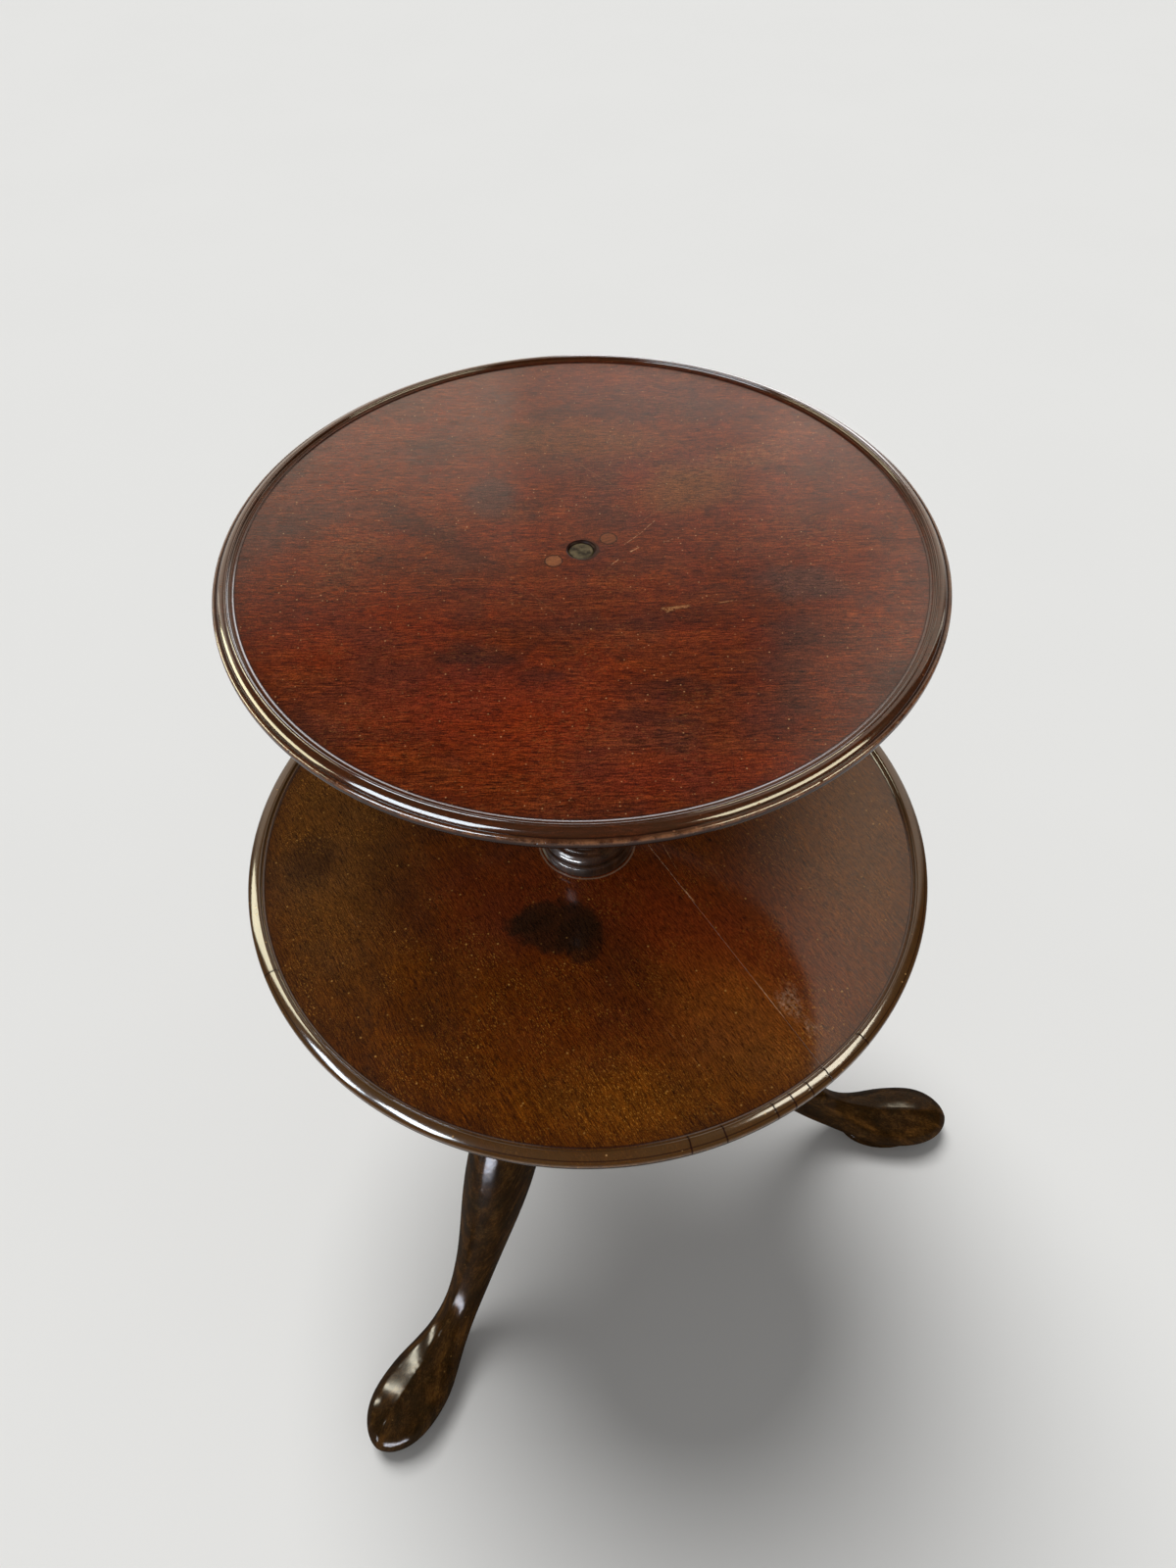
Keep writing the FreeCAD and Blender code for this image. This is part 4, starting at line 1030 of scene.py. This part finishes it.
# Trays: moulded rims in mm, as in from the edge, up from the field, swell out and swell up
upperTray = {
    "radius": 230.0,
    "field": 866.2,
    "bore": ((9.16, 866.2), (8.06, 865.1)),
    "rim": (
        (31.6, -18.0), (4.6, -9.0, 1.8, -1.8), (2.6, -9.0), (0.0, -2.5, 0.75, -0.75),
        (2.3, -0.7, 0.5, 0.5), (2.7, -1.1), (8.0, 2.5, 0.75, 0.75), (8.3, 2.3), (9.9, 2.3, 0.0, 0.45),
        (9.9, 1.7), (11.5, 0.95, -0.5, -0.5), (13.6, 0.0, 0.0, 0.35),
    ),
    "soft": 0.34,
    "wells": ((20.3, 33.3), (20.3, 213.3)),
    "wellRadius": 5.14,
    "wellDepth": 8.5,
    "cracks": (),
    "wear": {"Nick count": 90, "Nick radius": 0.2299, "Nick height": 0.8641, "Nick size": 0.0011, "Seed": 3},
}
lowerTray = {
    "radius": 278.3,
    "field": 560.9,
    "bore": ((17.06, 560.9),),
    "rim": (
        (31.6, -20.0), (4.6, -9.0, 1.8, -1.8), (2.6, -9.0), (0.0, -2.5, 0.75, -0.75),
        (1.5, 1.0, 0.55, 0.4), (8.3, 2.95, 0.0, 0.22), (10.3, 0.7, -0.45, 0.5), (10.75, 0.95),
        (12.85, 0.0, 0.0, 0.35),
    ),
    "soft": 0.34,
    "wells": (),
    "cracks": ((-40.96, 271.5), (-49.5, 271.5), (-53.2, 271.0), (-56.5, 271.5), (-59.7, 271.5),
               (-68.1, 271.5), (-73.5, 271.5)),
    "crackHeight": 564.1,
    "wear": {"Nick count": 70, "Nick radius": 0.2779, "Nick height": 0.5600, "Nick size": 0.0011, "Seed": 8},
    "joint": (32.1, 40.6, 0.03),
}


def polar(reach, azimuth):
    # Across and along, in metres, of a place so many millimetres from the axis
    angle = math.radians(azimuth)
    return reach * mm * math.cos(angle), reach * mm * math.sin(angle)


def trayMesh(name, look, material):
    radius, field = look["radius"], look["field"]
    underside = field + look["rim"][0][1]
    corners = [(radius - inward, field + up, *swell) for inward, up, *swell in look["rim"]]
    corners += [*look["bore"], (look["bore"][-1][0], underside)]
    tray = outlinePiece(name, corners, look["soft"])
    grow(tray, turning, {"Steps round": 480, "Unevenness": 0.22 * mm, "Swell length": 75 * mm,
                         "Calm radius": 38 * mm, "Material": material})
    for reach, azimuth in look["wells"]:
        low, high = (field - look["wellDepth"]) * mm, (field + 3) * mm
        subtract(tray, disc("well", polar(reach, azimuth), look["wellRadius"] * mm, low, high))
    places = [(*polar(reach, azimuth), look["crackHeight"] * mm) for azimuth, reach in look["cracks"]]
    cracks = meshPiece("crackPlaces", places)
    grow(tray, rimWear, dict(look["wear"], **{"Crack places": cracks, "Material": material}))
    bpy.data.objects.remove(cracks)
    return tray


def halfSpace(azimuth, start, side, reach=0.4, height=0.7):
    # A block that covers one side of the boards' joint and stands higher than the lower tray
    turn = Matrix.Rotation(math.radians(azimuth), 3, "Z")
    low, high = sorted((start, side * reach))
    points = [turn @ Vector((x, y, z)) for z in (0, height) for x, y in
              ((low, -reach), (high, -reach), (high, reach), (low, reach))]
    faces = ((3, 2, 1, 0), (4, 5, 6, 7), (0, 1, 5, 4), (1, 2, 6, 5), (2, 3, 7, 6), (3, 0, 4, 7))
    return meshPiece("half", points, faces)


def stand(piece, body, slotName, *nodes):
    # The finished piece rides on its body and stands for its CAD nodes
    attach(piece, body)
    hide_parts(*nodes)


upperBoard = trayMesh("upper_tray_top", upperTray, trayWood("upperTrayWood", topWood))
stand(upperBoard, "upper_tier", "upper_tray_wood", "upper_tray")
lowerBoard = trayMesh("lower_tray_main", lowerTray, trayWood("lowerTrayWood", lowWood))
sideBoard = newObject("lower_tray_side", lowerBoard.data.copy())
azimuth, offset, gap = lowerTray["joint"]
subtract(lowerBoard, halfSpace(azimuth, (offset - gap) * mm, 1))
subtract(sideBoard, halfSpace(azimuth, (offset + gap) * mm, -1))
stand(lowerBoard, "lower_tier", "lower_tray_wood", "lower_tray_main_board")
stand(sideBoard, "lower_tier", "lower_tray_wood", "lower_tray_side_board")
print("trays ready", [len(piece.data.polygons) for piece in (upperBoard, lowerBoard, sideBoard)])

# Column: foot radius, foot and shoulder heights in mm, then radius, height and swell as shares of these
upperColumn = {
    "radius": 38.5,
    "foot": 561.2,
    "shoulder": 820.2,
    "shares": (
        (1, 0, 0), (1, 0.036, 0.012), (0.96, 0.04, 0), (0.88, 0.04, 0), (0.88, 0.078, 0.075),
        (0.8, 0.078, 0), (0.8, 0.085, 0), (0.715, 0.085, 0), (0.715, 0.102, 0.03), (0.58, 0.102, 0),
        (0.56, 0.126, -0.035), (0.64, 0.126, 0), (0.64, 0.138, 0.022), (0.56, 0.138, 0),
        (0.735, 0.25, 0.09), (0.43, 0.44, 0.06), (0.4, 0.49, -0.012), (0.5, 0.49, 0),
        (0.5, 0.502, 0.018), (0.56, 0.502, 0), (0.56, 0.524, 0.032), (0.5, 0.524, 0),
        (0.5, 0.536, 0.018), (0.415, 0.536, 0), (0.38, 0.83, 0.016), (0.47, 0.83, 0),
        (0.47, 0.846, 0.026), (0.4, 0.846, 0), (0.4, 0.876, -0.012), (0.48, 0.876, 0), (0.48, 0.886, 0),
    ),
    "cap": ((29.0, 811.2, -3.0, 3.0), (29.0, 820.2, 2.25, 0.0)),
    "pinSeat": ((8.03, 820.2), (8.03, 762.2), (0.0, 762.2)),
    "tenon": ((0.0, 457.9), (17.0, 457.9), (17.0, 561.2)),
    "soft": 0.3,
}


def columnMesh(name, look, material):
    radius, foot, height = look["radius"], look["foot"], look["shoulder"] - look["foot"]
    turned = [(radius * across, foot + height * up, radius * swell, 0.0)
              for across, up, swell in look["shares"]]
    corners = [*look["tenon"], *turned, *look["cap"], *look["pinSeat"]]
    column = outlinePiece(name, corners, look["soft"], closed=False)
    grow(column, turning, {"Steps round": 112, "Unevenness": 0.08 * mm, "Swell length": 30 * mm,
                           "Calm radius": 1 * mm, "Material": material})
    return column


column = columnMesh("upper_column_turned", upperColumn, turnedWood("columnWood", columnWood))
stand(column, "stand", "turned_wood", "upper_column")
print("column ready", len(column.data.polygons))

dress(["pedestal"], turnedWood("pedestalWood", darkWood))
dress(["lower_hub", "upper_hub"], turnedWood("hubWood", blockWood))
dress(["screw_pellet_right", "column_lock_peg"], turnedWood("pegWood", pegWood))
oldPegWood = dict(pegWood, cloudColour=(110, 88, 52), cloudShare=0.7)
dress(["screw_pellet_left"], turnedWood("oldPegWood", oldPegWood))
for index, leg in enumerate(("leg_right", "leg_back", "leg_front")):
    grain = (("Z_AXIS", -120 * index), ("Y_AXIS", -39))
    dress([leg], turnedWood(leg + "Wood", dict(darkWood, turns=grain)))
for slotName, nodes in {
    "dark_iron": ["tie_plate"],
    "screw_iron": ["tie_plate_screws", "lower_hub_screws", "upper_hub_screws"],
    "pin_iron": ["pivot_pin"],
    "worn_brass": ["lower_thrust_washer", "upper_thrust_washer"],
}.items():
    dress(nodes, metalSkin(slotName + "Skin", metals[slotName]))
print("woods and metals ready")

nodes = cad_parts
makeCards(glossCards, {
    "low": [lowerBoard, sideBoard],
    "top": [upperBoard],
    "column": [column],
    "legs": [nodes["leg_right"], nodes["leg_back"], nodes["leg_front"], nodes["pedestal"]],
})
